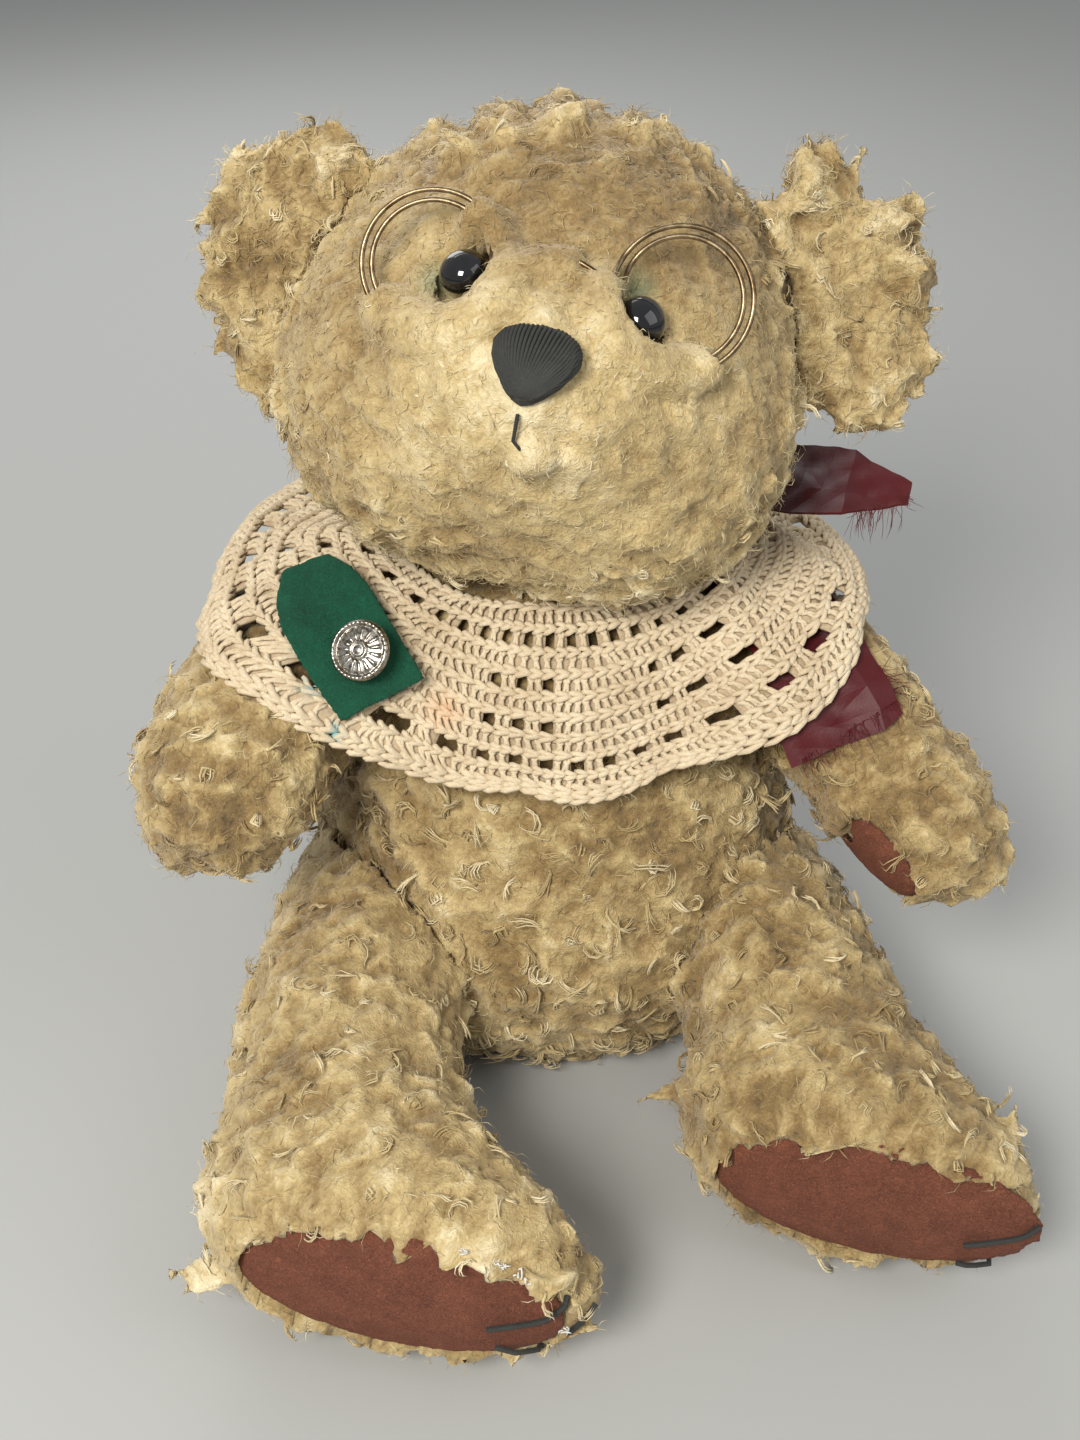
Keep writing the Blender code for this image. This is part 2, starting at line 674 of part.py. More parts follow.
def spectacle_path():
    """Points of the wire in the plane of the face: one rim inwards, the bridge, the other rim outwards."""
    count = int(RIM_TURNS * RIM_STEPS)
    rim = []
    for i in range(count + 1):
        turned = i / RIM_STEPS
        angle = 2 * math.pi * turned
        radius = RIM_RADIUS + RIM_TURN_SPREAD * (turned / RIM_TURNS - 0.5)
        ahead = RIM_TURN_PITCH * turned
        rim.append(Vector((RIM_SIDE - radius * math.cos(angle), -ahead, radius * math.sin(angle))))
    rim.reverse()
    path = [Vector((-point.x, point.y, point.z)) for point in reversed(rim)]
    inner = rim[0]
    for i in range(1, BRIDGE_STEPS):
        share = i / BRIDGE_STEPS
        rise = BRIDGE_RISE * math.sin(math.pi * share)
        path.append(Vector((-inner.x + 2 * inner.x * share, inner.y, rise)))
    return path + rim


def make_spectacles(head_tree, collection, material):
    tilt = Matrix.Rotation(SPECTACLES_TILT, 4, "Y")
    frame = head_matrix()
    clear = WIRE_DIAMETER / 2 + FIT_GAP
    points = []
    for flat in spectacle_path():
        spot = tilt @ flat + Vector((0, RIM_PLANE, SPECTACLES_HEIGHT))
        place, normal = face_hit(head_tree, spot.x, spot.z)
        target = frame @ spot
        if place is not None:
            lifted = place + normal * (clear - flat.y)
            if (frame.inverted() @ lifted).y < spot.y:
                target = lifted
        points.append(target)
    return wire("spectacles", points, WIRE_DIAMETER, collection, material)


def collar_direction(azimuth, polar):
    return Vector(
        (math.sin(polar) * math.cos(azimuth), math.sin(polar) * math.sin(azimuth), math.cos(polar))
    )


def collar_inner_polar(azimuth):
    """Where the collar starts: close under the chin in front, and further out at the neck's sides."""
    forward = max(0.0, -math.sin(azimuth))
    return COLLAR_INNER_POLAR + (COLLAR_INNER_FRONT_POLAR - COLLAR_INNER_POLAR) * forward


def collar_outer_polar(azimuth):
    """How far down the collar reaches: further in front and behind than over the shoulders."""
    facing = math.sin(azimuth)
    end = COLLAR_BACK_POLAR if facing > 0 else COLLAR_FRONT_POLAR
    return COLLAR_SIDE_POLAR + (end - COLLAR_SIDE_POLAR) * abs(facing)


def collar_azimuths():
    """Azimuths of the columns, wide solid ones and narrow ones for gaps, from one side of the opening."""
    start = COLLAR_OPENING_AT + COLLAR_OPENING / 2
    pair = (2 * math.pi - COLLAR_OPENING) / (COLLAR_PAIRS + 0.5)
    azimuths = [start]
    for i in range(COLLAR_PAIRS):
        azimuths.append(start + pair * (i + 1 - COLLAR_GAP_SHARE))
        azimuths.append(start + pair * (i + 1))
    azimuths.append(start + pair * (COLLAR_PAIRS + 0.5))
    return azimuths


def drape(reach, passes):
    """Pulls a grid of distances taut: each point rises to the mean of its neighbours, never falls."""
    for _ in range(passes):
        before = [row[:] for row in reach]
        for r, row in enumerate(before):
            for c, value in enumerate(row):
                near = [before[r][k] for k in (c - 1, c + 1) if 0 <= k < len(row)]
                near += [before[k][c] for k in (r - 1, r + 1) if 0 <= k < len(before)]
                reach[r][c] = max(value, sum(near) / len(near))
    return reach


def keep_clear(rows, tree, least):
    """Pushes a grid outward from the collar's centre until its points and cell middles clear a surface."""
    for _ in range(CLEARING_PASSES):
        for r in range(len(rows) - 1):
            for c in range(len(rows[0]) - 1):
                spots = [(r, c), (r, c + 1), (r + 1, c + 1), (r + 1, c)]
                corners = [rows[i][k] for i, k in spots]
                middle = sum(corners, Vector()) / 4
                short = 0.0
                for k in range(CELL_SAMPLES**2):
                    across = k % CELL_SAMPLES / (CELL_SAMPLES - 1)
                    down = k // CELL_SAMPLES / (CELL_SAMPLES - 1)
                    upper = corners[0].lerp(corners[1], across)
                    point = upper.lerp(corners[3].lerp(corners[2], across), down)
                    place, normal, _, _ = tree.find_nearest(point)
                    short = max(short, least - (point - place).dot(normal))
                if short > 0:
                    outward = (middle - COLLAR_CENTRE).normalized()
                    for i, k in spots:
                        rows[i][k] = rows[i][k] + outward * short * CLEARING_STEP
    return rows


def collar_surface(under_tree, grown_tree):
    """Rows of points on the collar's underside, from the neck outwards."""
    azimuths = collar_azimuths()
    directions = []
    for r in range(COLLAR_ROWS + 1):
        share = r / COLLAR_ROWS
        row = []
        for azimuth in azimuths:
            inner = collar_inner_polar(azimuth)
            polar = inner + (collar_outer_polar(azimuth) - inner) * share
            wave = abs(math.sin(COLLAR_SCALLOPS / 2 * (azimuth - COLLAR_SCALLOP_TURN))) - 0.5
            scallop = COLLAR_SCALLOP_DEPTH * wave * share**COLLAR_SCALLOP_POWER
            row.append(collar_direction(azimuth, polar + scallop))
        directions.append(row)
    reach = []
    for r, row in enumerate(directions):
        share = (r / COLLAR_ROWS) ** COLLAR_FLARE_POWER
        reach.append([])
        for direction in row:
            place, _ = surface_hit(grown_tree, COLLAR_CENTRE + direction * PROBE_FAR, -direction)
            sideways = abs(direction.x) / math.hypot(direction.x, direction.y)
            backward = max(0.0, direction.y + COLLAR_FLARE_FRONT)
            lifted = min(1.0, backward * COLLAR_FLARE_RISE, sideways * COLLAR_FLARE_SIDE)
            flare = COLLAR_FLARE_LEFT if direction.x > 0 else COLLAR_FLARE_RIGHT
            reach[-1].append(max((place - COLLAR_CENTRE).length, flare * share * lifted))
    reach = drape(reach, COLLAR_SMOOTHING)
    rows = []
    for row, distances in zip(directions, reach):
        rows.append([COLLAR_CENTRE + d * far for d, far in zip(row, distances)])
    return keep_clear(rows, under_tree, DRAPE_CLEAR)


def sheet_between(lower, upper, kept):
    """A closed sheet between two grids of points that holds only the kept cells."""
    bm = bmesh.new()
    made = {}

    def corner(side, r, c):
        if (side, r, c) not in made:
            made[side, r, c] = bm.verts.new((lower, upper)[side][r][c])
        return made[side, r, c]

    for r, c in sorted(kept):
        for side in (0, 1):
            around = [(r, c), (r, c + 1), (r + 1, c + 1), (r + 1, c)]
            bm.faces.new([corner(side, *spot) for spot in (around if side else reversed(around))])
        for (dr, dc), first, second in (
            ((-1, 0), (r, c), (r, c + 1)),
            ((0, 1), (r, c + 1), (r + 1, c + 1)),
            ((1, 0), (r + 1, c + 1), (r + 1, c)),
            ((0, -1), (r + 1, c), (r, c)),
        ):
            if (r + dr, c + dc) not in kept:
                spots = ((0, *first), (0, *second), (1, *second), (1, *first))
                bm.faces.new([corner(*spot) for spot in spots])
    return bm


def raised(rows, heights):
    """The grid moved outward along its own normals by a height for each row."""
    result = []
    for r, row in enumerate(rows):
        result.append([])
        for c, place in enumerate(row):
            along = row[min(c + 1, len(row) - 1)] - row[max(c - 1, 0)]
            down = rows[min(r + 1, len(rows) - 1)][c] - rows[max(r - 1, 0)][c]
            result[-1].append(place + down.cross(along).normalized() * heights[r])
    return result


def collar_top(rows):
    """Rows of points on the collar's upper side, with a ridge for every second row of stitches."""
    return raised(rows, [COLLAR_THICKNESS + COLLAR_RIDGE * (r % 2) for r in range(COLLAR_ROWS + 1)])


def make_collar(rows, collection, material):
    """A sheet with a gap at each open mesh: eyelets all round, and filet mesh between the solid fans."""
    columns = len(rows[0]) - 1
    kept = set()
    for r in range(COLLAR_ROWS):
        for c in range(columns):
            filet = r in COLLAR_FILET_ROWS and c // 2 % COLLAR_REPEAT < COLLAR_FILET_PAIRS
            if c % 2 == 0 or not (r in COLLAR_EYELET_ROWS or filet):
                kept.add((r, c))
    return add_object("collar", sheet_between(rows, collar_top(rows), kept), collection, material)


def in_between(stations):
    """The same stations with more of them between each two."""
    finer = []
    for first, second in zip(stations, stations[1:]):
        for i in range(TAIL_STEPS):
            share = i / TAIL_STEPS
            place = first[0].lerp(second[0], share)
            width = first[1] + (second[1] - first[1]) * share
            finer.append((place, width, first[2] + (second[2] - first[2]) * share))
    return finer + [stations[-1]]


def strip(start, stations, trees, collection, name):
    """A tail from the knot along stations with a place, a share of the full width and a tilt in degrees."""
    rows = []
    stations = in_between(((start, KNOT_SHARE, stations[0][2]), *stations))
    places = [station[0] for station in stations]
    for i, (place, share, tilt) in enumerate(stations):
        along = (places[min(i + 1, len(places) - 1)] - places[max(i - 1, 0)]).normalized()
        level = along.cross(Vector((0, 0, 1))).normalized()
        across = Matrix.Rotation(math.radians(tilt), 3, along) @ level
        row = []
        for k in range(TAIL_STRANDS + 1):
            offset = (k / TAIL_STRANDS - 0.5) * RIBBON_WIDTH * share
            row.append(place + across * offset)
        rows.append(row)
    if trees:
        reach = []
        for row in rows:
            reach.append([])
            for place in row:
                outward = (place - COLLAR_CENTRE).normalized()
                hit, _ = surface_hit(trees[1], COLLAR_CENTRE + outward * PROBE_FAR, -outward)
                reach[-1].append((hit - COLLAR_CENTRE).length)
        reach = drape(reach, TAIL_SMOOTHING)
        for row, distances in zip(rows, reach):
            for k, far in enumerate(distances):
                outward = (row[k] - COLLAR_CENTRE).normalized()
                row[k] = COLLAR_CENTRE + outward * far
        for k in range(TAIL_STRANDS + 1):
            rows[0][k] = start + (rows[1][k] - start) * TAIL_START_SHARE
        keep_clear(rows, trees[0], DRAPE_CLEAR)
    kept = {(r, c) for r in range(len(rows) - 1) for c in range(TAIL_STRANDS)}
    upper = raised(rows, [-RIBBON_THICKNESS] * len(rows))
    middle = len(rows) // 2
    outward = upper[middle][0] - rows[middle][0]
    if trees and outward.dot(rows[middle][0] - COLLAR_CENTRE) < 0:
        upper = raised(rows, [RIBBON_THICKNESS] * len(rows))
    return add_object(name, sheet_between(rows, upper, kept), collection)


def knot_centre(body_tree):
    """The knot rests on the body, in the collar's opening."""
    outward = collar_direction(COLLAR_OPENING_AT, KNOT_POLAR)
    place, _ = surface_hit(body_tree, COLLAR_CENTRE + outward * PROBE_FAR, -outward)
    centre = place + outward * KNOT_RADIUS
    for _ in range(CLEARING_PASSES):
        place, normal, _, _ = body_tree.find_nearest(centre)
        short = KNOT_RADIUS + DRAPE_CLEAR - (centre - place).dot(normal)
        centre = centre + normal * max(0.0, short)
    return centre


def make_ribbon(trees, collection, cutters, material):
    centre = knot_centre(trees[0])
    bm = bmesh.new()
    bmesh.ops.create_uvsphere(
        bm, u_segments=KNOT_GRID[0], v_segments=KNOT_GRID[1], radius=KNOT_RADIUS
    )
    bm.transform(Matrix.Translation(centre))
    ribbon = add_object("ribbon", bm, collection, material)
    lower = strip(centre, LOWER_TAIL, trees, cutters, "ribbon_lower_tail")
    upper = strip(centre, UPPER_TAIL, None, cutters, "ribbon_upper_tail")
    for tail in (lower, upper):
        tail.hide_render = True
        tail.display_type = "WIRE"
        modifier = ribbon.modifiers.new(tail.name, "BOOLEAN")
        modifier.operation = "UNION"
        modifier.solver = "EXACT"
        modifier.object = tail
    return ribbon, lower


def tag_frame():
    """A frame at the tag's middle: X across it, Z up along it, -Y away from the bear."""
    upward = (TAG_TOP - TAG_BOTTOM).normalized()
    middle = TAG_TOP.lerp(TAG_BOTTOM, 0.5)
    outward = (TAG_FACING - upward * TAG_FACING.dot(upward)).normalized()
    return frame_on(middle, outward, upward.cross(outward))


def make_tag(collar_tree, collection, material):
    """A felt tag with clipped upper corners that follows the collar under it."""
    frame = tag_frame()
    length = (TAG_TOP - TAG_BOTTOM).length
    inward = frame.to_3x3() @ Vector((0, 1, 0))
    flat = []
    reach = []
    for r in range(TAG_GRID[1] + 1):
        share = r / TAG_GRID[1]
        half = TAG_WIDTH / 2 * min(1.0, TAG_TOP_SHARE + (1 - TAG_TOP_SHARE) * share / TAG_POINT_SHARE)
        flat.append([])
        reach.append([])
        for c in range(TAG_GRID[0] + 1):
            side = half * (2 * c / TAG_GRID[0] - 1)
            origin = frame @ Vector((side, -PROBE_NEAR, length * (0.5 - share)))
            place, _ = surface_hit(collar_tree, origin, inward)
            flat[-1].append(origin)
            reach[-1].append(-(place - origin).length if place else None)
    for r, row in enumerate(reach):
        found = [far for far in row if far is not None] or reach[r - 1]
        reach[r] = [min(found) if far is None else far for far in row]
    reach = drape(reach, TAG_SMOOTHING)
    rows = []
    for row, distances in zip(flat, reach):
        rows.append([place - inward * far for place, far in zip(row, distances)])
    keep_clear(rows, collar_tree, TAG_CLEAR)
    kept = {(r, c) for r in range(TAG_GRID[1]) for c in range(TAG_GRID[0])}
    upper = [[place - inward * TAG_THICKNESS for place in row] for row in rows]
    return add_object("felt_tag", sheet_between(rows, upper, kept), collection, material)


def make_button(tag_tree, collection, material):
    """A metal button: a rim round a shallow dome with a raised middle, and a shank behind it."""
    frame = tag_frame()
    length = (TAG_TOP - TAG_BOTTOM).length
    inward = frame.to_3x3() @ Vector((0, 1, 0))
    radius = BUTTON_DIAMETER / 2
    middle = Vector((BUTTON_SIDE, -PROBE_NEAR, length * (0.5 - BUTTON_AT)))
    place, _ = surface_hit(tag_tree, frame @ middle, inward)
    highest = 0.0
    for i in range(BUTTON_SIDES):
        angle = 2 * math.pi * i / BUTTON_SIDES
        spot = middle + Vector((math.cos(angle), 0, math.sin(angle))) * radius
        found, _ = surface_hit(tag_tree, frame @ spot, inward)
        if found:
            highest = max(highest, (place - found).dot(inward))
    profile = (
        (0.0, BUTTON_THICKNESS),
        (radius * 0.26, BUTTON_THICKNESS),
        (radius * 0.30, BUTTON_THICKNESS * 0.72),
        (radius * 0.62, BUTTON_THICKNESS * 0.60),
        (radius - BUTTON_RIM_WIDTH, BUTTON_THICKNESS * 0.45),
        (radius - BUTTON_RIM_WIDTH * 0.7, BUTTON_THICKNESS * 0.80),
        (radius - BUTTON_RIM_WIDTH * 0.25, BUTTON_THICKNESS * 0.75),
        (radius, BUTTON_THICKNESS * 0.40),
        (radius * 0.95, 0.0),
        (BUTTON_SHANK_DIAMETER / 2, 0.0),
        (BUTTON_SHANK_DIAMETER / 2, -TAG_THICKNESS - highest),
        (0.0, -TAG_THICKNESS - highest),
    )
    mesh = bpy.data.meshes.new("tag_button")
    mesh.from_pydata([(x, 0, z) for x, z in profile], [(i, i + 1) for i in range(len(profile) - 1)], [])
    button = bpy.data.objects.new("tag_button", mesh)
    collection.objects.link(button)
    turning = button.modifiers.new("Turn", "SCREW")
    turning.steps = BUTTON_SIDES
    turning.render_steps = BUTTON_SIDES
    turning.use_merge_vertices = True
    turning.merge_threshold = 0.00001
    bm = evaluated_bmesh(button)
    button.modifiers.clear()
    bmesh.ops.recalc_face_normals(bm, faces=bm.faces)
    bm.transform(Matrix.Rotation(math.radians(90), 4, "X"))
    bm.transform(frame.to_3x3().to_4x4())
    bm.transform(Matrix.Translation(place - inward * (highest + FIT_GAP)))
    bm.to_mesh(mesh)
    bm.free()
    mesh.materials.append(material)
    return button


def main():
    clear_scene()
    bear = new_collection("teddy_bear")
    cutters = new_collection("cutters")
    materials = {name: make_material(name) for name in COLOURS}
    plush = materials["plush"]

    torso = make_torso(bear, plush)
    torso_cutter = make_cutter(torso, cutters, FIT_GAP)

    head = make_head(bear, plush)
    head_cutter = make_cutter(head, cutters, FIT_GAP)
    head_tree = tree_of([head])
    for name, centre, half_size, lean, turn in (
        ("ear_right", EAR_RIGHT_CENTRE, EAR_RIGHT_HALF_SIZE, EAR_RIGHT_LEAN, EAR_RIGHT_TURN),
        ("ear_left", EAR_LEFT_CENTRE, EAR_LEFT_HALF_SIZE, EAR_LEFT_LEAN, EAR_LEFT_TURN),
    ):
        ear = make_ear(name, centre, half_size, lean, turn, bear, plush)
        cut_by(ear, head_cutter)
    eyes = [
        make_eye("eye_" + side, place, head_tree, bear, cutters, materials["eye_black"])
        for side, place in (("right", -EYE_SIDE), ("left", EYE_SIDE))
    ]
    make_nose(head_tree, head_cutter, bear, materials["nose_yarn"])
    make_mouth(head, bear, cutters, materials["nose_yarn"])
    make_spectacles(tree_of([head] + eyes), bear, materials["wire"])
    cut_by(head, torso_cutter)
    for eye in eyes:
        cut_by(head, make_cutter(eye, cutters, FIT_GAP))

    for side, stations, claws in (
        ("right", LEG_RIGHT_STATIONS, CLAWS_RIGHT),
        ("left", LEG_LEFT_STATIONS, CLAWS_LEFT),
    ):
        leg = make_leg("leg_" + side, stations, bear, plush)
        leg_cutter = make_cutter(leg, cutters, FIT_GAP)
        cut_by(leg, torso_cutter)
        pad = make_sole_pad(
            "sole_pad_" + side, stations, leg_cutter, bear, materials["felt_brown"]
        )
        clearance = CLAW_DIAMETER / 2 + STITCH_GAP
        foot_tree = tree_of([make_cutter(piece, cutters, clearance) for piece in (leg, pad)])
        for i, (start, end) in enumerate(claws, 1):
            name = "claw_" + side + "_" + str(i)
            make_claw(name, start, end, stations, foot_tree, bear, materials["nose_yarn"])

    arms = []
    for side, stations, station, facing in (
        ("right", ARM_RIGHT_STATIONS, PAW_RIGHT_STATION, PAW_RIGHT_FACING),
        ("left", ARM_LEFT_STATIONS, PAW_LEFT_STATION, PAW_LEFT_FACING),
    ):
        arm = make_arm("arm_" + side, stations, bear, plush)
        arm_cutter = make_cutter(arm, cutters, FIT_GAP)
        make_paw_pad(
            "paw_pad_" + side, stations, station, facing, arm, arm_cutter, bear, materials["felt_brown"]
        )
        cut_by(arm, torso_cutter)
        arms.append(arm)

    body = [torso] + arms
    grown_body = [make_cutter(piece, cutters, DRAPE_GAP) for piece in body]
    trees = (tree_of(body), tree_of(grown_body))
    ribbon, lower_tail = make_ribbon(trees, bear, cutters, materials["ribbon"])
    grown_tail = make_cutter(lower_tail, cutters, DRAPE_GAP)
    rows = collar_surface(tree_of(body + [ribbon]), tree_of(grown_body + [grown_tail]))
    make_collar(rows, bear, materials["crochet"])
    filled = {(r, c) for r in range(COLLAR_ROWS) for c in range(len(rows[0]) - 1)}
    over_collar = raised(rows, [COLLAR_THICKNESS + COLLAR_RIDGE + FIT_GAP] * len(rows))
    filled_collar = sheet_between(rows, over_collar, filled)
    tag = make_tag(BVHTree.FromBMesh(filled_collar), bear, materials["felt_green"])
    filled_collar.free()
    button = make_button(tree_of([tag]), bear, materials["button_metal"])
    cut_by(tag, make_cutter(button, cutters, TAG_HOLE_GAP))


main()
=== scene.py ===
"""Looks for the seated teddy bear: curled pile, crochet, felt, satin, wire, eyes and button."""

import math

import bmesh
import bpy
import numpy as np
from mathutils import Matrix, Vector, noise
from mathutils.bvhtree import BVHTree


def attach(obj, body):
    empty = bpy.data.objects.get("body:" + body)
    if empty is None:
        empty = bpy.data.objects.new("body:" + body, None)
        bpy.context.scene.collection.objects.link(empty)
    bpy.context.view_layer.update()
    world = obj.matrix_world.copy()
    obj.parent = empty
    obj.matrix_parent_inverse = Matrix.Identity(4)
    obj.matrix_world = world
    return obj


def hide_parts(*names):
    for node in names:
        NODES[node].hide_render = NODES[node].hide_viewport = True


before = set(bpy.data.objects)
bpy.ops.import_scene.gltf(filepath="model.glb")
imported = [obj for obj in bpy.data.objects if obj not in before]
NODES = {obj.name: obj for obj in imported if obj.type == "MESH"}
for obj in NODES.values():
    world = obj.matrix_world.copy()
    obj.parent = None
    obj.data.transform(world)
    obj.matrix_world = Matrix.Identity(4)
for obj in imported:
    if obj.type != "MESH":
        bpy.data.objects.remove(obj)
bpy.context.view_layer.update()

SEED = 7
MM = 0.001

# The camera, and the photograph's frame in pixels
CAMERA_PLACE = Vector((-0.004, -0.3657, 0.3394))
CAMERA_TILT = math.radians(55)
CAMERA_LENS = 45
PHOTO_SIZE = (1080, 1440)
FOCAL_PIXELS = CAMERA_LENS / 36 * PHOTO_SIZE[1]

# Values that part.py uses for the same pieces
COLLAR_CENTRE = Vector((0.0, 0.004, 0.070))
COLLAR_INNER = math.radians(33)
COLLAR_INNER_FRONT = math.radians(20.5)
COLLAR_SIDE = math.radians(54)
COLLAR_FRONT = math.radians(64)
COLLAR_BACK = math.radians(57)
COLLAR_PAIRS = 32
COLLAR_GAP_SHARE = 0.42
COLLAR_ROWS = 9
COLLAR_EYELET_ROWS = (1, 7)
COLLAR_FILET_ROWS = (3, 5)
COLLAR_REPEAT = 6
COLLAR_FILET_PAIRS = 3
COLLAR_SCALLOPS = 8
COLLAR_SCALLOP_TURN = math.radians(-57)
COLLAR_SCALLOP_DEPTH = math.radians(2.8)
OPENING_AT = math.radians(38)
OPENING = math.radians(15)
HEAD_CENTRE = Vector((-0.002, 0.012, 0.1745))
HEAD_TURN = (
    Matrix.Rotation(math.radians(-1.8), 4, "Z")
    @ Matrix.Rotation(math.radians(-29), 4, "X")
    @ Matrix.Rotation(math.radians(14), 4, "Y")
)
HEAD = Matrix.Translation(HEAD_CENTRE) @ HEAD_TURN
HEAD_UP = HEAD.to_3x3() @ Vector((0, 0, 1))
EYE_SIDE = 0.0188
EYE_HEIGHT = 0.0080
EYE_RADIUS = 0.0049
EYE_DEPTH = 0.0080
RIM_RADIUS = 0.0137
RIM_SIDE = 0.0245
RIM_PLANE = -0.0465
RIM_SPREAD = 0.0040
RIM_PITCH = 0.0002
RIM_TURNS = 2.0
SPECTACLES_HEIGHT = 0.0108
SPECTACLES_TILT = math.radians(-6.5)
BRIDGE_RISE = 0.0035
WIRE_DIAMETER = 0.0011
NOSE_WIDTH = 0.0200
NOSE_HEIGHT = 0.0165
NOSE_TAPER = 0.42
NOSE_WIDEST_AT = 0.4
NOSE_RISE = -0.0075
TAG_TOP = Vector((-0.0560, -0.0070, 0.1310))
TAG_BOTTOM = Vector((-0.0375, -0.0320, 0.1105))
TAG_FACING = Vector((-0.25, -0.75, 0.60))
BUTTON_RADIUS = 0.00695
BUTTON_THICKNESS = 0.0024

# Face: how low the mouth's thread is buried, how deep the pile is round the eyes, and how many
# threads the nose has and how thick they are
MOUTH_BURIED = -0.0252
EYE_HOLLOW = 0.0024
EYE_HOLLOW_REACH = 0.0050
NOSE_THREADS = 35
NOSE_THREAD_RADIUS = 0.42 * MM
NOSE_ROOM = 0.0088
# Where the pile covers the wire of each rim, in degrees round it, for the viewer's left and right
COVERED_BELOW = (-58, -30)
COVERED_ABOVE = (128, 163)
COVER_REACH = 0.0050
COVER_HEIGHT = 0.0015

# Pile: its height under a claw stitch, the strands' shape, and how it bulges round a pad, as the
# reach round the pad, the bulge forward and the overhang
UNDER_CLAW = 0.0009
STRAND_SIDES = 3
STRAND_PROFILE = ((0, 0.25, 0.7, 1.0), (0.75, 1.0, 0.8, 0.12))
TIP_PALER = 0.24
CURL_PROFILE = (0.7, 1.0, 1.0, 0.95, 0.85, 0.65, 0.2)
PADS = {
    "leg": ("sole_pad_", 0.012, 0.0055, 0.0042),
    "arm": ("paw_pad_", 0.008, 0.0032, 0.0020),
}

# How much paler, or below 0 deeper, the pile of a piece or of a region of it is, painted shade
# included where marked
NODE_TONES_AND_SIDE_SHADE = {
    "head": 0.05,
    "torso": -0.07,
    # painted shade: leg_left and arm_left, on the bear's left away from the key light, are deeper
    # than their pairs
    "leg_left": -0.15,
    "leg_right": -0.05,
    "arm_left": -0.14,
    "arm_right": -0.09,
    "ear_left": -0.06,
    "ear_right": -0.06,
}
MUZZLE_TONE = 0.22
BROW_TONE = -0.20
# painted shade along the crease of the cheek
CHEEK_CREASE_SHADE = -0.14
SEAT_TONE = 0.05
# painted shade on the torso's sides, which turn away from the light
FLANK_SHADE = -0.10
TOE_TONE = 0.11
# painted shade at the roots of the ears, where they meet the head
EAR_ROOT_SHADE = -0.10

# Collar: the ground's depth and thickness, the rows' loops and the posts between the rows
GROUND_DEPTH = 0.0011
GROUND_THICKNESS = 0.0009
LOOP_PITCH, LOOP_REACH, LOOP_RADIUS = 0.0029, 0.17, 0.00074
POST_PITCH, POST_RADIUS, PLY_OFFSET = 0.0023, 0.00056, 0.00040
# The two chains of the edge: how far past the last row, pitch, reach and radius
EDGE_CHAINS = ((-0.10, 0.0032, 0.22, 0.00090), (0.28, 0.0046, 0.20, 0.00085))
ORANGE_REACH = 0.005
CYAN_REACH = 0.0022

RIBBON_SMOOTHING = 6

# The button's section, in shares of its radius and thickness
BUTTON_PROFILE = (
    (0.02, 1.0), (0.10, 1.0), (0.14, 0.90), (0.20, 0.90), (0.24, 1.0), (0.28, 1.0), (0.31, 0.80),
    (0.36, 0.74), (0.42, 0.72), (0.48, 0.70), (0.54, 0.68), (0.60, 0.65), (0.66, 0.62),
    (0.72, 0.58), (0.77, 0.50), (0.80, 0.50), (0.84, 0.74), (0.88, 0.84), (0.93, 0.80),
    (0.98, 0.60), (1.0, 0.40), (0.98, 0.15), (0.94, 0.0), (0.3, 0.0),
)
BUTTON_SIDES = 120
BUTTON_BARS = 15
BUTTON_BEADS = 40

# Colours, dark and light
PLUSH_STOPS = (
    (0.0, (0.095, 0.055, 0.016)),
    (0.28, (0.265, 0.165, 0.052)),
    (0.60, (0.545, 0.410, 0.183)),
    (1.0, (0.90, 0.790, 0.530)),
)
RIBBON_STOPS = (
    (0.0, (0.018, 0.002, 0.003)),
    (0.45, (0.080, 0.006, 0.008)),
    (1.0, (0.24, 0.034, 0.032)),
)
EYE_STOPS = ((0.4, (0.004, 0.004, 0.005)), (0.8, (0.012, 0.012, 0.013)))
RUST = ((0.075, 0.019, 0.008), (0.34, 0.112, 0.058))
GREEN = ((0.0, 0.040, 0.018), (0.007, 0.165, 0.082))
COTTON = ((0.46, 0.335, 0.195), (0.74, 0.630, 0.445))
# painted shade: a darker copy of COTTON for the ground sheet under the stitches
SHADED_COTTON = ((0.34, 0.24, 0.135), (0.58, 0.465, 0.31))
WOOL = ((0.007, 0.007, 0.006), (0.040, 0.041, 0.036))
WHITE = ((0.60, 0.58, 0.54), (0.85, 0.84, 0.80))
BRONZE = ((0.12, 0.078, 0.040), (0.34, 0.26, 0.155))
NICKEL = ((0.13, 0.115, 0.09), (0.52, 0.49, 0.43))
GREEN_STAIN = (0.10, 0.24, 0.15)
ORANGE_STAIN = (0.75, 0.30, 0.10)
CYAN_DYE = (0.10, 0.42, 0.50)

# Lights: place, size, watts and colour
LIGHTS = {
    "key": ((-0.30, -0.72, 0.72), 0.32, 10.0, (1.0, 0.97, 0.92)),
    "fill": ((0.6, -0.3, 0.6), 0.6, 1.5, (1, 1, 1)),
    "back": ((-0.2, 0.7, 0.6), 0.6, 3.0, (1, 1, 1)),
}
LIGHTS_AIM = Vector((0, 0, 0.1))
WORLD_COLOUR = (0.95, 0.97, 1.0, 1)
WORLD_STRENGTH = 0.40
FLOOR_COLOUR = (0.42, 0.425, 0.41, 1)
FLOOR_REACH = 4


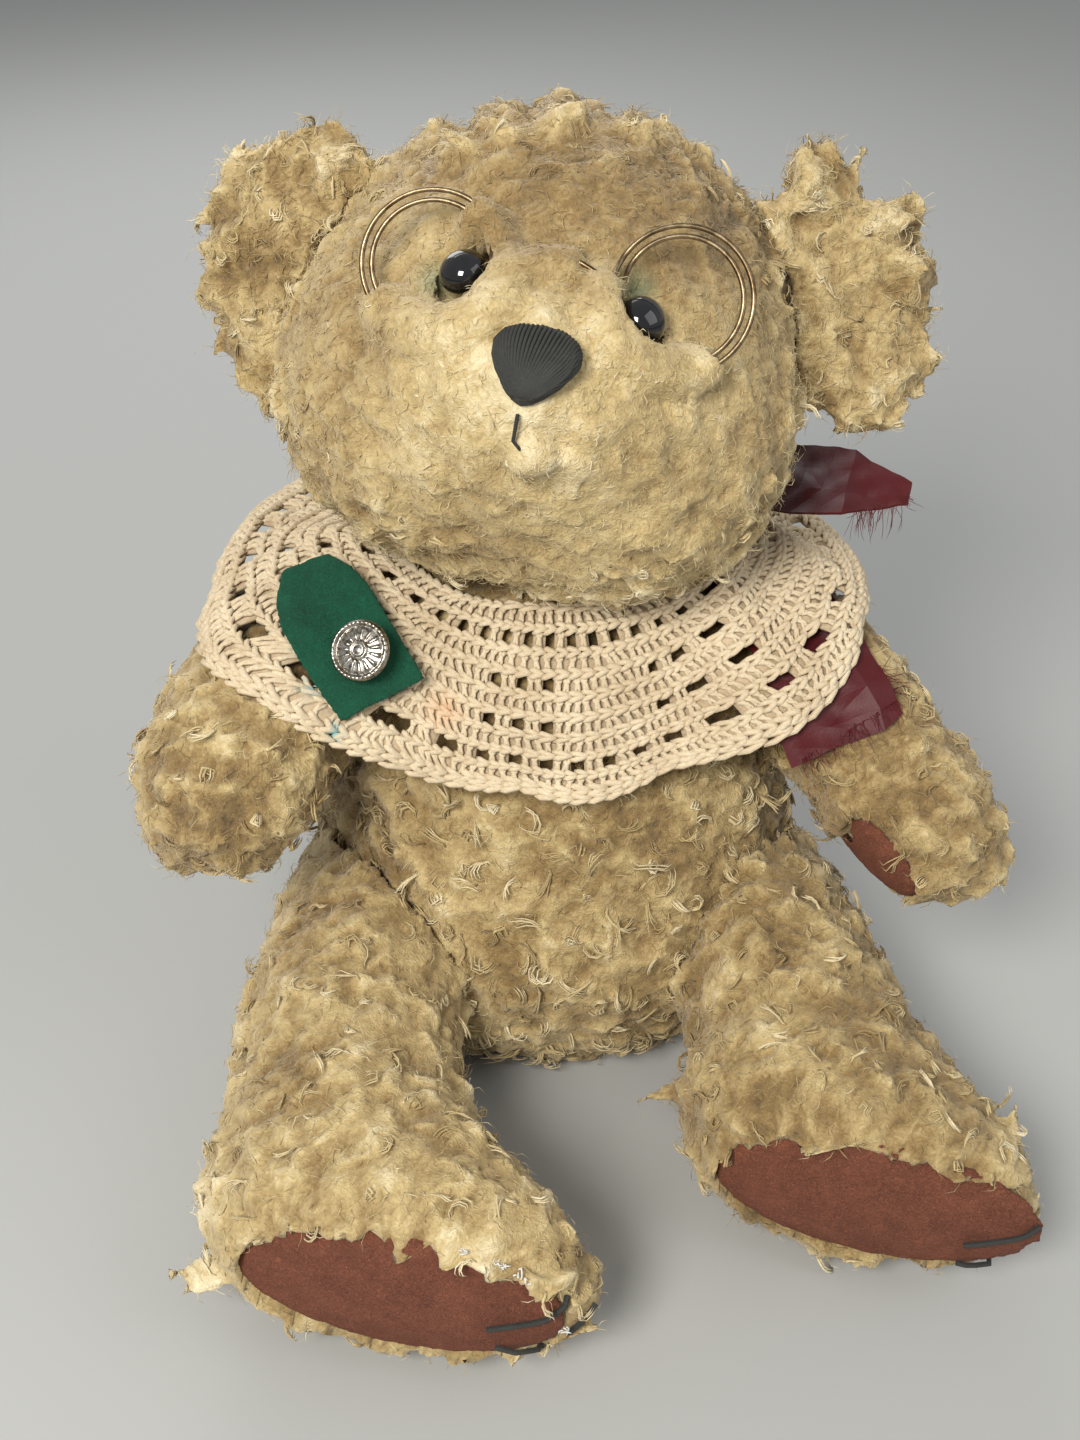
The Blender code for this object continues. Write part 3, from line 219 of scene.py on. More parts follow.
def look(**changes):
    """How the pile of a piece looks: the usual values, and the changes to them."""
    values = {
        "voxel": 1.3 * MM,
        "clump": 4.5 * MM,
        "relief": 1.3 * MM,
        "shrink": 0.9 * MM,
        "fill": 0.7,
        "curls": 400,
        "curl_width": (2.6 * MM, 4.4 * MM),
        "fibres": 2000,
        "locks": 100,
        "strands": 4,
        "swirl": 0.020,
        "stray": 0.7,
        "comb": (0, -0.3, -1),
        "length": (6 * MM, 10 * MM),
        "turn": (1.6, 4.6),
        "lift": (30, 60),
        "paler": 0.12,
        "steps": 5,
        "thick": (1.0 * MM, 1.8 * MM),
    }
    values.update(changes)
    return values


EAR = {"voxel": 1.2 * MM, "fibres": 1300, "locks": 45, "length": (5 * MM, 8 * MM)}
ARM = {"curls": 330, "fibres": 1300, "locks": 100}
LEG = {"curls": 620, "fibres": 2000, "locks": 190}
LOOKS = {
    "torso": look(
        curls=1250,
        fibres=4000,
        locks=600,
        strands=5,
        thick=(1.3 * MM, 2.4 * MM),
        length=(7 * MM, 12 * MM),
        curl_width=(2.2 * MM, 3.8 * MM),
        paler=0.20,
    ),
    "head": look(
        voxel=1.15 * MM,
        fibres=8600,
        locks=210,
        strands=5,
        paler=0.17,
        curls=900,
        curl_width=(2.4 * MM, 4.0 * MM),
        length=(5 * MM, 8 * MM),
        comb=(0, 0.1, -1),
    ),
    "ear_left": look(comb=(0.4, 0, 0.4), curls=210, **EAR),
    "ear_right": look(comb=(-0.4, 0, 0.4), curls=130, relief=1.0 * MM, **EAR),
    "arm_left": look(comb=(0.8, -0.4, -0.5), **ARM),
    "arm_right": look(comb=(-0.3, -0.7, -0.6), **ARM),
    "leg_left": look(comb=(0.2, -1, -0.2), **LEG),
    "leg_right": look(comb=(-0.1, -1, -0.2), **LEG),
}

# Ragged points of pile: the root and the tip in the photo's frame, and the width in metres
TUFTS = {
    "ear_left": (
        ((803, 195), (808, 142), 0.0100),
        ((885, 225), (930, 214), 0.0070),
        ((895, 255), (932, 272), 0.0060),
        ((872, 395), (882, 428), 0.0065),
        ((780, 240), (765, 200), 0.0080),
    ),
    "ear_right": (
        ((250, 330), (268, 372), 0.0080),
        ((215, 250), (200, 262), 0.0080),
        ((330, 165), (370, 148), 0.0100),
    ),
    "head": (
        ((470, 150), (440, 126), 0.0060),
        ((505, 135), (485, 112), 0.0080),
        ((560, 125), (590, 104), 0.0100),
        ((640, 135), (660, 118), 0.0080),
    ),
    "leg_right": (
        ((195, 1275), (158, 1280), 0.0050),
        ((200, 1290), (172, 1300), 0.0050),
        ((590, 1320), (606, 1322), 0.0050),
    ),
    "leg_left": (
        ((650, 1080), (634, 1102), 0.0050),
        ((1015, 1130), (1018, 1096), 0.0075),
    ),
}
# A ragged point's rings, from its root to its tip: the share along it and the share of its width
TUFT_RINGS = ((-0.35, 1.0), (0.15, 0.95), (0.6, 0.62), (0.92, 0.30))
TUFT_SIDES = 8

# Notches in the outline: the place in the photo's frame, the reach in its pixels and the depth
DENTS = {
    "ear_left": (
        ((872, 160), 48, 0.0075),
        ((940, 240), 22, 0.0035),
        ((935, 330), 46, 0.0030),
        ((925, 410), 34, 0.0035),
        ((762, 165), 36, 0.0050),
    ),
    "ear_right": (((205, 330), 26, 0.0030), ((250, 140), 26, 0.0025)),
    "head": (
        ((460, 112), 20, 0.0030),
        ((530, 100), 16, 0.0030),
        ((615, 98), 18, 0.0030),
        ((700, 112), 30, 0.0025),
    ),
}

# White threads at the worn seam, and marks on the collar, in the photo's frame
WORN_SEAM = (
    (463, 1246), (466, 1252), (500, 1251), (508, 1254), (522, 1262), (532, 1270), (567, 1330),
)
ORANGE_AT = (434, 709)
CYAN_AT = ((303, 668), (308, 682), (322, 704), (330, 714))

# Frayed edges of the ribbon: two ends in the photo's frame, the threads' run and their count
FRAYED = (
    ((852, 512), (902, 503), (-6, 34), 46),
    ((896, 492), (906, 500), (14, 10), 10),
    ((900, 698), (800, 760), (8, 24), 80),
    ((900, 690), (880, 665), (20, 8), 20),
)


# Materials


def new_material(name, roughness=0.9, metallic=0.0, sheen=0.0, sheen_tint=(1, 1, 1)):
    material = bpy.data.materials.new(name)
    material.use_nodes = True
    tree = material.node_tree
    shader = tree.nodes["Principled BSDF"]
    shader.inputs["Roughness"].default_value = roughness
    shader.inputs["Metallic"].default_value = metallic
    shader.inputs["Sheen Weight"].default_value = sheen
    shader.inputs["Sheen Roughness"].default_value = 0.5
    shader.inputs["Sheen Tint"].default_value = (*sheen_tint, 1)
    return material, tree, shader


def add(tree, kind, **settings):
    node = tree.nodes.new(kind)
    for key, value in settings.items():
        if key in node.inputs:
            node.inputs[key].default_value = value
        else:
            setattr(node, key, value)
    return node


def feed(tree, socket, value):
    """Sets a socket to a number or a colour, or links a node's output to it."""
    if isinstance(value, (int, float)):
        socket.default_value = value
    elif isinstance(value, tuple):
        socket.default_value = (*value, 1)
    else:
        tree.links.new(value, socket)


def coordinates(tree, scale=(1, 1, 1)):
    where = add(tree, "ShaderNodeTexCoord")
    mapping = add(tree, "ShaderNodeMapping")
    mapping.inputs["Scale"].default_value = scale
    tree.links.new(where.outputs["Object"], mapping.inputs["Vector"])
    return mapping.outputs["Vector"]


def noise_of(tree, vector, scale, detail=3.0, distortion=0.0, roughness=0.55):
    node = add(tree, "ShaderNodeTexNoise", Scale=scale, Detail=detail, Distortion=distortion)
    node.inputs["Roughness"].default_value = roughness
    tree.links.new(vector, node.inputs["Vector"])
    return node.outputs["Fac"]


def attribute(tree, name):
    return add(tree, "ShaderNodeAttribute", attribute_name=name).outputs["Fac"]


def ramp(tree, value, stops):
    node = add(tree, "ShaderNodeValToRGB")
    elements = node.color_ramp.elements
    while len(elements) < len(stops):
        elements.new(0.5)
    for element, (place, colour) in zip(elements, stops):
        element.position = place
        element.color = (*colour, 1)
    tree.links.new(value, node.inputs["Fac"])
    return node.outputs["Color"]


def mixed(tree, factor, first, second):
    node = add(tree, "ShaderNodeMix", data_type="RGBA")
    for index, value in ((0, factor), (6, first), (7, second)):
        feed(tree, node.inputs[index], value)
    return node.outputs[2]


def calculated(tree, operation, *values):
    node = add(tree, "ShaderNodeMath", operation=operation)
    for socket, value in zip(node.inputs, values):
        feed(tree, socket, value)
    return node.outputs["Value"]


def mottled(tree, value, pattern, strength, shift):
    """A value with a share of a noise pattern and a shift added."""
    shifted = calculated(tree, "ADD", value, shift)
    return calculated(tree, "MULTIPLY_ADD", pattern, strength, shifted)


def blended(tree, fine, fine_share, broad, broad_share):
    """A sum of two noise patterns."""
    broad = calculated(tree, "MULTIPLY", broad, broad_share)
    return calculated(tree, "MULTIPLY_ADD", fine, fine_share, broad)


def covered(tree, shader, colour, height, strength, distance):
    """Gives a shader its colour and a bump."""
    tree.links.new(colour, shader.inputs["Base Color"])
    node = add(tree, "ShaderNodeBump", Strength=strength, Distance=distance)
    tree.links.new(height, node.inputs["Height"])
    tree.links.new(node.outputs["Normal"], shader.inputs["Normal"])


def plush_material(name, fibre_scale, bump_distance, tone_shift):
    """Golden tan fibre: the tone attribute says how deep or pale it is, and noise mottles it."""
    material, tree, shader = new_material(name, 0.50, 0.0, 0.45, (1.0, 0.88, 0.66))
    where = coordinates(tree)
    broad = noise_of(tree, where, 55, 3, 0.4)
    fine = noise_of(tree, where, fibre_scale, 4, 1.5)
    value = mottled(tree, attribute(tree, "tone"), broad, 0.30, tone_shift - 0.15)
    value = mottled(tree, value, fine, 0.44, -0.21)
    stain = calculated(tree, "MULTIPLY", attribute(tree, "stain"), 0.55)
    colour = mixed(tree, stain, ramp(tree, value, PLUSH_STOPS), GREEN_STAIN)
    covered(tree, shader, colour, fine, 0.7, bump_distance)
    return material


def felt_material(name, dark, light, fibre_scale, sheen):
    material, tree, shader = new_material(name, 0.95, 0.0, sheen, light)
    where = coordinates(tree)
    broad = noise_of(tree, where, 120, 4, 0.6)
    fine = noise_of(tree, where, fibre_scale, 5, 3.0, 0.7)
    value = blended(tree, fine, 0.85, broad, 0.25)
    colour = ramp(tree, value, ((0.38, dark), (0.68, light)))
    covered(tree, shader, colour, fine, 1.0, 0.0010)
    return material


def yarn_material(name, dark, light, roughness, ply_scale, marked=False):
    """Spun yarn: fine slanted plies in the bump, a slow change of colour, and stains if marked."""
    material, tree, shader = new_material(name, roughness, 0.0, 0.2, light)
    broad = noise_of(tree, coordinates(tree), 90, 3, 0.3)
    fine = noise_of(tree, coordinates(tree, (1, 1, 1.6)), ply_scale, 3, 0.8)
    value = blended(tree, fine, 0.6, broad, 0.5)
    colour = ramp(tree, value, ((0.28, dark), (0.70, light)))
    if marked:
        stain = calculated(tree, "MULTIPLY", attribute(tree, "stain"), 0.30)
        colour = mixed(tree, stain, colour, ORANGE_STAIN)
        colour = mixed(tree, attribute(tree, "dye"), colour, CYAN_DYE)
    covered(tree, shader, colour, fine, 0.6, 0.0003)
    return material


def ribbon_material():
    """Worn satin: fine crossed threads, a silky sheen and paler worn patches."""
    material, tree, shader = new_material("ribbon_satin", 0.48, 0.0, 0.08, (0.8, 0.2, 0.15))
    shader.inputs["Specular IOR Level"].default_value = 0.28
    shader.inputs["Anisotropic"].default_value = 0.4
    broad = noise_of(tree, coordinates(tree), 160, 3, 0.5)
    weave = noise_of(tree, coordinates(tree, (1, 1, 0.12)), 2600, 2, 0.0)
    value = calculated(tree, "MULTIPLY_ADD", broad, 0.16, attribute(tree, "tone"))
    value = mottled(tree, value, weave, 0.20, -0.20)
    covered(tree, shader, ramp(tree, value, RIBBON_STOPS), weave, 0.35, 0.0002)
    return material


def metal_material(name, dark, light, roughness, scale):
    """Worn metal with tarnish in patches."""
    material, tree, shader = new_material(name, roughness, 1.0)
    where = coordinates(tree)
    patches = noise_of(tree, where, scale, 4, 0.8)
    fine = noise_of(tree, where, scale * 6, 3, 0.2)
    rough = calculated(tree, "MULTIPLY_ADD", fine, 0.3, roughness - 0.12)
    tree.links.new(rough, shader.inputs["Roughness"])
    colour = ramp(tree, patches, ((0.35, dark), (0.62, light)))
    covered(tree, shader, colour, fine, 0.15, 0.0001)
    return material


def eye_material():
    material, tree, shader = new_material("eye_gloss", 0.05)
    haze = noise_of(tree, coordinates(tree), 300, 3, 0.3)
    tree.links.new(ramp(tree, haze, EYE_STOPS), shader.inputs["Base Color"])
    rough = calculated(tree, "MULTIPLY_ADD", haze, 0.06, 0.02)
    tree.links.new(rough, shader.inputs["Roughness"])
    shader.inputs["Coat Weight"].default_value = 0.6
    return material


# Meshes


def arrays_of(mesh):
    """The places, the triangles and the vertex normals of a mesh."""
    places = np.empty(len(mesh.vertices) * 3)
    mesh.vertices.foreach_get("co", places)
    mesh.calc_loop_triangles()
    triangles = np.empty(len(mesh.loop_triangles) * 3, dtype=np.int32)
    mesh.loop_triangles.foreach_get("vertices", triangles)
    normals = np.empty(len(mesh.vertices) * 3)
    mesh.vertex_normals.foreach_get("vector", normals)
    return places.reshape(-1, 3), triangles.reshape(-1, 3), normals.reshape(-1, 3)


def places_of(node):
    return arrays_of(NODES[node].data)[0]


def move_to(mesh, places):
    mesh.vertices.foreach_set("co", places.ravel())
    mesh.update()


def set_attribute(mesh, name, values):
    layer = mesh.attributes.new(name, "FLOAT", "POINT")
    layer.data.foreach_set("value", np.asarray(values, dtype=np.float32))


def new_object(name, mesh, material, replaced=None):
    mesh.materials.clear()
    mesh.materials.append(material)
    piece = bpy.data.objects.new(name, mesh)
    bpy.context.scene.collection.objects.link(piece)
    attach(piece, "root")
    if replaced:
        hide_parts(replaced)
    return piece


def mesh_of(name, places, faces_by_size, **attributes):
    """A mesh from arrays of places and of faces that have 3 or 4 corners."""
    mesh = bpy.data.meshes.new(name)
    mesh.vertices.add(len(places))
    mesh.vertices.foreach_set("co", np.asarray(places, dtype=np.float32).ravel())
    loops = np.concatenate([faces.ravel() for faces in faces_by_size])
    sizes = np.concatenate([np.full(len(faces), faces.shape[1]) for faces in faces_by_size])
    mesh.loops.add(len(loops))
    mesh.loops.foreach_set("vertex_index", loops.astype(np.int32))
    mesh.polygons.add(len(sizes))
    starts = np.concatenate(([0], np.cumsum(sizes)[:-1]))
    mesh.polygons.foreach_set("loop_start", starts.astype(np.int32))
    mesh.polygons.foreach_set("loop_total", sizes.astype(np.int32))
    mesh.update(calc_edges=True)
    mesh.validate()
    mesh.shade_smooth()
    for key, values in attributes.items():
        set_attribute(mesh, key, values)
    return mesh


def evaluated(obj):
    """The mesh of an object with its modifiers applied."""
    graph = bpy.context.evaluated_depsgraph_get()
    return bpy.data.meshes.new_from_object(obj.evaluated_get(graph))


def tree_of(nodes):
    places, triangles, count = [], [], 0
    for node in nodes:
        own, faces, _ = arrays_of(NODES[node].data)
        places.append(own)
        triangles.append(faces + count)
        count += len(own)
    return BVHTree.FromPolygons(
        np.concatenate(places).tolist(), np.concatenate(triangles).tolist()
    )


def length_of(vectors):
    return np.linalg.norm(vectors, axis=-1)


def unit(vectors):
    return vectors / np.maximum(np.linalg.norm(vectors, axis=-1, keepdims=True), 1e-12)


def clipped(values):
    return np.clip(values, 0, 1)


def waves(points, scale, seed, count=7):
    """Smooth noise from about -1 to 1, from waves that run in random directions."""
    rng = np.random.default_rng(seed)
    total = np.zeros(points.shape[:-1])
    for _ in range(count):
        direction = unit(rng.normal(size=3)) * rng.uniform(0.6, 1.4) * 2 * math.pi / scale
        total += np.sin(points @ direction + rng.uniform(0, 2 * math.pi))
    return total / math.sqrt(count)


def tubes(lines, radii, ups, sides, taper, flat=1.0):
    """Closed tubes round many lines of points at once: a flat root, and a point at the tip."""
    count, steps, _ = lines.shape
    steps -= 1
    tangents = unit(np.gradient(lines, axis=1))
    across = unit(np.cross(tangents, ups))
    upward = np.cross(across, tangents)
    angles = 2 * math.pi * np.arange(sides) / sides
    ring = across[:, :, None] * np.cos(angles)[None, None, :, None]
    ring = ring + upward[:, :, None] * (np.sin(angles) * flat)[None, None, :, None]
    thick = radii[:, None] * np.asarray(taper)[None, :]
    rings = lines[:, :steps, None] + ring[:, :steps] * thick[:, :steps, None, None]
    places = np.concatenate([rings.reshape(count, -1, 3), lines[:, steps:]], axis=1)
    size = steps * sides + 1
    quads = []
    for s in range(steps - 1):
        for i in range(sides):
            j = (i + 1) % sides
            low, high = s * sides, (s + 1) * sides
            quads.append((low + i, low + j, high + j, high + i))
    last = (steps - 1) * sides
    tips = [(last + i, last + (i + 1) % sides, size - 1) for i in range(sides)]
    root = [tuple(range(sides - 1, -1, -1))]
    offsets = (np.arange(count) * size)[:, None, None]
    faces = []
    for group in (quads, tips, root):
        local = np.array(group)
        faces.append((local[None] + offsets).reshape(-1, local.shape[1]))
    return places.reshape(-1, 3), faces


def bowed(start, end, bend):
    """Five places from a start to an end, bowed out by a bend."""
    return [tuple(start.lerp(end, k / 4) + bend * math.sin(math.pi * k / 4)) for k in range(5)]


def smooth_line(points, steps):
    """A Catmull-Rom curve through some points."""
    points = np.asarray(points, dtype=float)
    padded = np.vstack([2 * points[0] - points[1], points, 2 * points[-1] - points[-2]])
    result = []
    for i in range(len(points) - 1):
        a, b, c, d = padded[i : i + 4]
        square, cube = 2 * a - 5 * b + 4 * c - d, 3 * b - a - 3 * c + d
        for k in range(steps):
            t = k / steps
            result.append(0.5 * (2 * b + (c - a) * t + square * t**2 + cube * t**3))
    result.append(points[-1])
    return np.array(result)


def wire_shape(points, radius, sides):
    """One closed round wire along a line of points, with domed ends: places and faces."""
    tangents = unit(np.gradient(points, axis=0))
    normal = unit(np.cross(tangents[0], (0.3, 0.2, 1.0)))
    ups = []
    for tangent in tangents:
        normal = unit(normal - tangent * (normal @ tangent))
        ups.append(normal)
    taper = np.ones(len(points))
    taper[0] = 0.5
    taper[-2] = 0.8
    return tubes(points[None], np.array([radius]), np.array(ups)[None], sides, taper)


# Places in the photograph's frame


def camera_ray(px, py):
    across, up = (px - PHOTO_SIZE[0] / 2) / FOCAL_PIXELS, -(py - PHOTO_SIZE[1] / 2) / FOCAL_PIXELS
    return (Matrix.Rotation(CAMERA_TILT, 3, "X") @ Vector((across, up, -1))).normalized()


def at_ray(px, py, near):
    """The place on the camera's ray through a pixel that is nearest to another place."""
    ray = camera_ray(px, py)
    return CAMERA_PLACE + ray * (near - CAMERA_PLACE).dot(ray)


def on_node(tree, px, py):
    """The place on a node that is nearest to the camera's ray through a pixel."""
    ray = camera_ray(px, py)
    hit, _, _, _ = tree.ray_cast(CAMERA_PLACE, ray)
    if hit is not None:
        return hit
    best, found = 1e9, None
    for k in range(120):
        place, _, _, far = tree.find_nearest(CAMERA_PLACE + ray * (0.25 + 0.003 * k))
        if far < best:
            best, found = far, place
    return found


def photo_pixels(places):
    """Where places lie in the photo's frame, in pixels."""
    turned = np.array(Matrix.Rotation(-CAMERA_TILT, 3, "X"))
    local = (places - np.array(CAMERA_PLACE)) @ turned.T
    across = PHOTO_SIZE[0] / 2 - local[:, 0] / local[:, 2] * FOCAL_PIXELS
    down = PHOTO_SIZE[1] / 2 + local[:, 1] / local[:, 2] * FOCAL_PIXELS
    return np.stack([across, down], axis=1)


# Plush


def tuft_shapes(node):
    """Ragged points of pile that stand out from a node, as closed cones: places and triangles."""
    tree = tree_of([node])
    places, triangles = [], []
    for root_pixel, tip_pixel, wide in TUFTS.get(node, ()):
        root = on_node(tree, *root_pixel)
        tip = at_ray(*tip_pixel, root)
        along = tip - root
        side = along.cross(Vector((0.2, -0.8, 0.6))).normalized()
        upward = side.cross(along).normalized()
        first = len(places)
        for share, size in TUFT_RINGS:
            for i in range(TUFT_SIDES):
                angle = 2 * math.pi * i / TUFT_SIDES
                off = (side * math.cos(angle) + upward * math.sin(angle)) * wide / 2 * size
                places.append(tuple(root + along * share + off))
        places.append(tuple(root + along * 1.02))
        places.append(tuple(root - along * 0.4))
        last = first + (len(TUFT_RINGS) - 1) * TUFT_SIDES
        for ring in range(first, last, TUFT_SIDES):
            for i in range(TUFT_SIDES):
                a, b = ring + i, ring + (i + 1) % TUFT_SIDES
                triangles += [(a, b, b + TUFT_SIDES), (a, b + TUFT_SIDES, a + TUFT_SIDES)]
        for i in range(TUFT_SIDES):
            j = (i + 1) % TUFT_SIDES
            triangles.append((last + i, last + j, len(places) - 2))
            triangles.append((first + j, first + i, len(places) - 1))
    return places, [triangles]


def remeshed(node, name, voxel, smoothing, extra=()):
    """A fresh even mesh in the shape of a CAD node and of closed shapes that are joined to it."""
    mesh = NODES[node].data.copy()
    shapes = [shape for shape in (tuft_shapes(node), *extra) if len(shape[0])]
    if shapes:
        solid, faces, _ = arrays_of(mesh)
        places, groups = [solid], [faces]
        for own_places, own_faces in shapes:
            first = sum(len(part) for part in places)
            places.append(np.array(own_places))
            groups += [np.array(part) + first for part in own_faces]
        mesh = mesh_of(name, np.concatenate(places), groups)
    holder = bpy.data.objects.new(name, mesh)
    bpy.context.scene.collection.objects.link(holder)
    modifier = holder.modifiers.new("Remesh", "REMESH")
    modifier.mode = "VOXEL"
    modifier.voxel_size = voxel
    smooth = holder.modifiers.new("Smooth", "SMOOTH")
    smooth.iterations = smoothing
    smooth.factor = 0.5
    made = evaluated(holder)
    bpy.data.objects.remove(holder)
    made.name = name
    made.shade_smooth()
    return made


def lumps(places, cell, seed):
    """Rounded clumps of pile: 1 on a clump and 0 in the creases between clumps."""
    offset = Vector((seed * 0.37, seed * 0.11, seed * 0.23))
    result = np.empty(len(places))
    for i, place in enumerate(places):
        spot = Vector(place) / cell + offset
        spot += noise.noise_vector(spot * 1.3) * 0.55
        distances, _ = noise.voronoi(spot)
        edge = min(1.0, (distances[1] - distances[0]) * 2.0)
        result[i] = math.sqrt(edge * (2 - edge))
    return result


def head_local(places):
    inverse = np.array(HEAD.inverted())
    return places @ inverse[:3, :3].T + inverse[:3, 3]


def face_share(node, places):
    """1 on the short matted face and 0 away from it."""
    if node != "head":
        return np.zeros(len(places))
    far = length_of((head_local(places) - (0, -0.045, -0.004)) / (0.052, 0.044, 0.040))
    return clipped((1.35 - far) * 2)


def region_tone(node, places):
    """How much paler or deeper than the rest the pile is at a place."""
    x, y, z = places.T
    shift = waves(places, 0.050, 11) * 0.07 + waves(places, 0.022, 12) * 0.05 + NODE_TONES_AND_SIDE_SHADE[node]
    if node == "head":
        x, y, z = head_local(places).T
        muzzle = length_of(np.stack([x / 0.032, (y + 0.050) / 0.035, (z + 0.012) / 0.028], axis=1))
        # painted shade along a crease on the cheek
        cheek_crease_shade = clipped(1 - np.abs(x + 0.030 + 0.5 * (z + 0.010)) / 0.004)
        cheek_crease_shade = cheek_crease_shade * clipped(1 - np.abs(z + 0.006) / 0.02) * (y < -0.015)
        shift += MUZZLE_TONE * clipped(1.3 - muzzle) + BROW_TONE * clipped((z - 0.012) / 0.02)
        shift += CHEEK_CREASE_SHADE * cheek_crease_shade
    elif node == "torso":
        shift += SEAT_TONE * clipped((0.09 - z) / 0.09)
        # painted shade on the torso's sides
        shift += FLANK_SHADE * clipped((np.abs(x) - 0.030) / 0.02)
    elif node.startswith("leg"):
        shift += TOE_TONE * clipped((-y - 0.04) / 0.05)
    elif node.startswith("ear"):
        # painted shade at the ear's root, next to the head
        shift += EAR_ROOT_SHADE * clipped((0.062 - np.abs(x)) / 0.02)
    return shift


def eye_stain(node, places):
    """Green dye in the pile beside the eyes."""
    stain = np.zeros(len(places))
    if node != "head":
        return stain
    local = head_local(places)
    for x, z in (
        (-EYE_SIDE - 0.0045, EYE_HEIGHT - 0.003),
        (EYE_SIDE - 0.003, EYE_HEIGHT + 0.0055),
    ):
        far = np.hypot(local[:, 0] - x, local[:, 2] - z)
        stain += clipped(1 - far / 0.0055) * (local[:, 1] < 0)
    return stain


def dented(node, places):
    """Moves towards a node's middle where the ragged outline has a notch."""
    moves = np.zeros_like(places)
    pixels = photo_pixels(places)
    inward = unit(places.mean(axis=0) - places)
    for pixel, reach, depth in DENTS.get(node, ()):
        far = length_of(pixels - np.array(pixel)) / reach
        moves += inward * (depth * clipped(1 - far**2))[:, None]
    return moves


def around_pads(node, places):
    """Moves that make the pile bulge forward round a felt pad, and hang over its edge in lumps."""
    part, _, side = node.partition("_")
    moves = np.zeros_like(places)
    if part not in PADS:
        return moves
    pad, reach, bulge, overhang = PADS[part]
    tree = tree_of([pad + side])
    pad_places = places_of(pad + side)
    middle = pad_places.mean(axis=0)
    plane = np.linalg.svd(pad_places - middle)[2][2]
    if plane @ (middle - places_of(node).mean(axis=0)) < 0:
        plane = -plane
    uneven = 0.75 + 0.45 * waves(places, 0.011, 71)
    for i, place in enumerate(places):
        near, _, _, far = tree.find_nearest(Vector(place), reach)
        if near is None:
            continue
        behind = Vector(place) - Vector(plane) * 0.0005
        if tree.ray_cast(behind, Vector(plane), 0.012)[0] is not None:
            continue
        share = math.sin(math.pi * min(1.0, (1 - far / reach) * 1.15) * 0.62)
        flat = middle - place
        flat = flat - plane * (flat @ plane)
        lift = plane * bulge * (0.45 + 0.55 * uneven[i])
        above = 0.4 + 0.6 * max(0.0, -flat[2] / max(np.linalg.norm(flat), 1e-9))
        moves[i] = share * lift + share**3 * overhang * max(0.0, uneven[i]) * above * unit(flat)
    return moves


def near_claws(node, places):
    """How near the pile is to a claw stitch, from 0 to 1: there it lies flat under the stitch."""
    if not node.startswith("leg"):
        return np.zeros(len(places))
    tree = tree_of([name for name in NODES if name.startswith("claw" + node[3:])])
    far = np.array([tree.find_nearest(Vector(place))[3] for place in places])
    return clipped(2.2 - far / 0.0019)


def over_wire(node, places, normals, wire_points, eyes):
    """How far the pile rises over the buried parts of the spectacles' wire."""
    rise = np.zeros(len(places))
    if node != "head":
        return rise
    for point in wire_points:
        off = point - places
        up = (off * normals).sum(axis=1)
        aside = length_of(off - normals * up[:, None])
        wanted = (up + COVER_HEIGHT) * clipped(1 - (aside / COVER_REACH) ** 2)
        near = (aside < COVER_REACH) & (up > -0.001) & (up < 0.007)
        rise = np.where(near, np.maximum(rise, wanted), rise)
    for centre, radius in eyes:
        rise = rise * clipped((length_of(places - np.array(centre)) - radius - 0.0010) / 0.0012)
    return rise


def weight_towards(places, facing):
    """The share of strands wanted at a place: fewer on the sides that face away from the camera."""
    seen = (unit(np.array(CAMERA_PLACE) - places) * facing).sum(axis=1)
    return 0.22 + 0.78 * clipped(seen * 3 + 1.0)


def scattered(mesh, count, rng):
    """Places spread over a mesh, with their normals and tones."""
    places, triangles, normals = arrays_of(mesh)
    tones = np.zeros(len(places), dtype=np.float32)
    if "tone" in mesh.attributes:
        mesh.attributes["tone"].data.foreach_get("value", tones)
    corners = places[triangles]
    areas = length_of(np.cross(corners[:, 1] - corners[:, 0], corners[:, 2] - corners[:, 0]))
    facing = unit(normals[triangles].mean(axis=1))
    total = np.cumsum(areas * weight_towards(corners.mean(axis=1), facing))
    picks = np.searchsorted(total, (np.arange(count) + rng.random(count)) / count * total[-1])
    picks = np.minimum(picks, len(triangles) - 1)
    shares = rng.dirichlet((1, 1, 1), len(picks))
    where = (corners[picks] * shares[:, :, None]).sum(axis=1)
    outward = unit((normals[triangles[picks]] * shares[:, :, None]).sum(axis=1))
    return where, outward, (tones[triangles[picks]] * shares).sum(axis=1)


def heading_of(roots, outward, style, seed, stray, rng):
    swirl = waves(roots, style["swirl"], seed + 20) * 2.2 + rng.normal(0, stray, len(roots))
    comb = unit(np.array(style["comb"], dtype=float))
    tangent = unit(comb - outward * (outward @ comb)[:, None] + 1e-5)
    side = np.cross(outward, tangent)
    return tangent * np.cos(swirl)[:, None] + side * np.sin(swirl)[:, None]


def curled(roots, outward, heading, length, turn, wave, lift, fall, steps, lowest):
    """Lines of locks that rise from their roots, curl sideways and bend back to the surface."""
    tangent = unit(heading - outward * (heading * outward).sum(axis=1, keepdims=True))
    side = np.cross(outward, tangent)
    lines = [roots]
    for k in range(steps):
        share = (k + 0.5) / steps
        yaw = turn * share + wave * math.sin(2 * math.pi * share)
        up = lift - fall * share
        flat = tangent * np.cos(yaw)[:, None] + side * np.sin(yaw)[:, None]
        step = flat * np.cos(up)[:, None] + outward * np.sin(up)[:, None]
        lines.append(lines[-1] + step * (length / steps)[:, None])
    lines = np.stack(lines, axis=1)
    lines[:, :, 2] = np.maximum(lines[:, :, 2], lowest)
    return lines


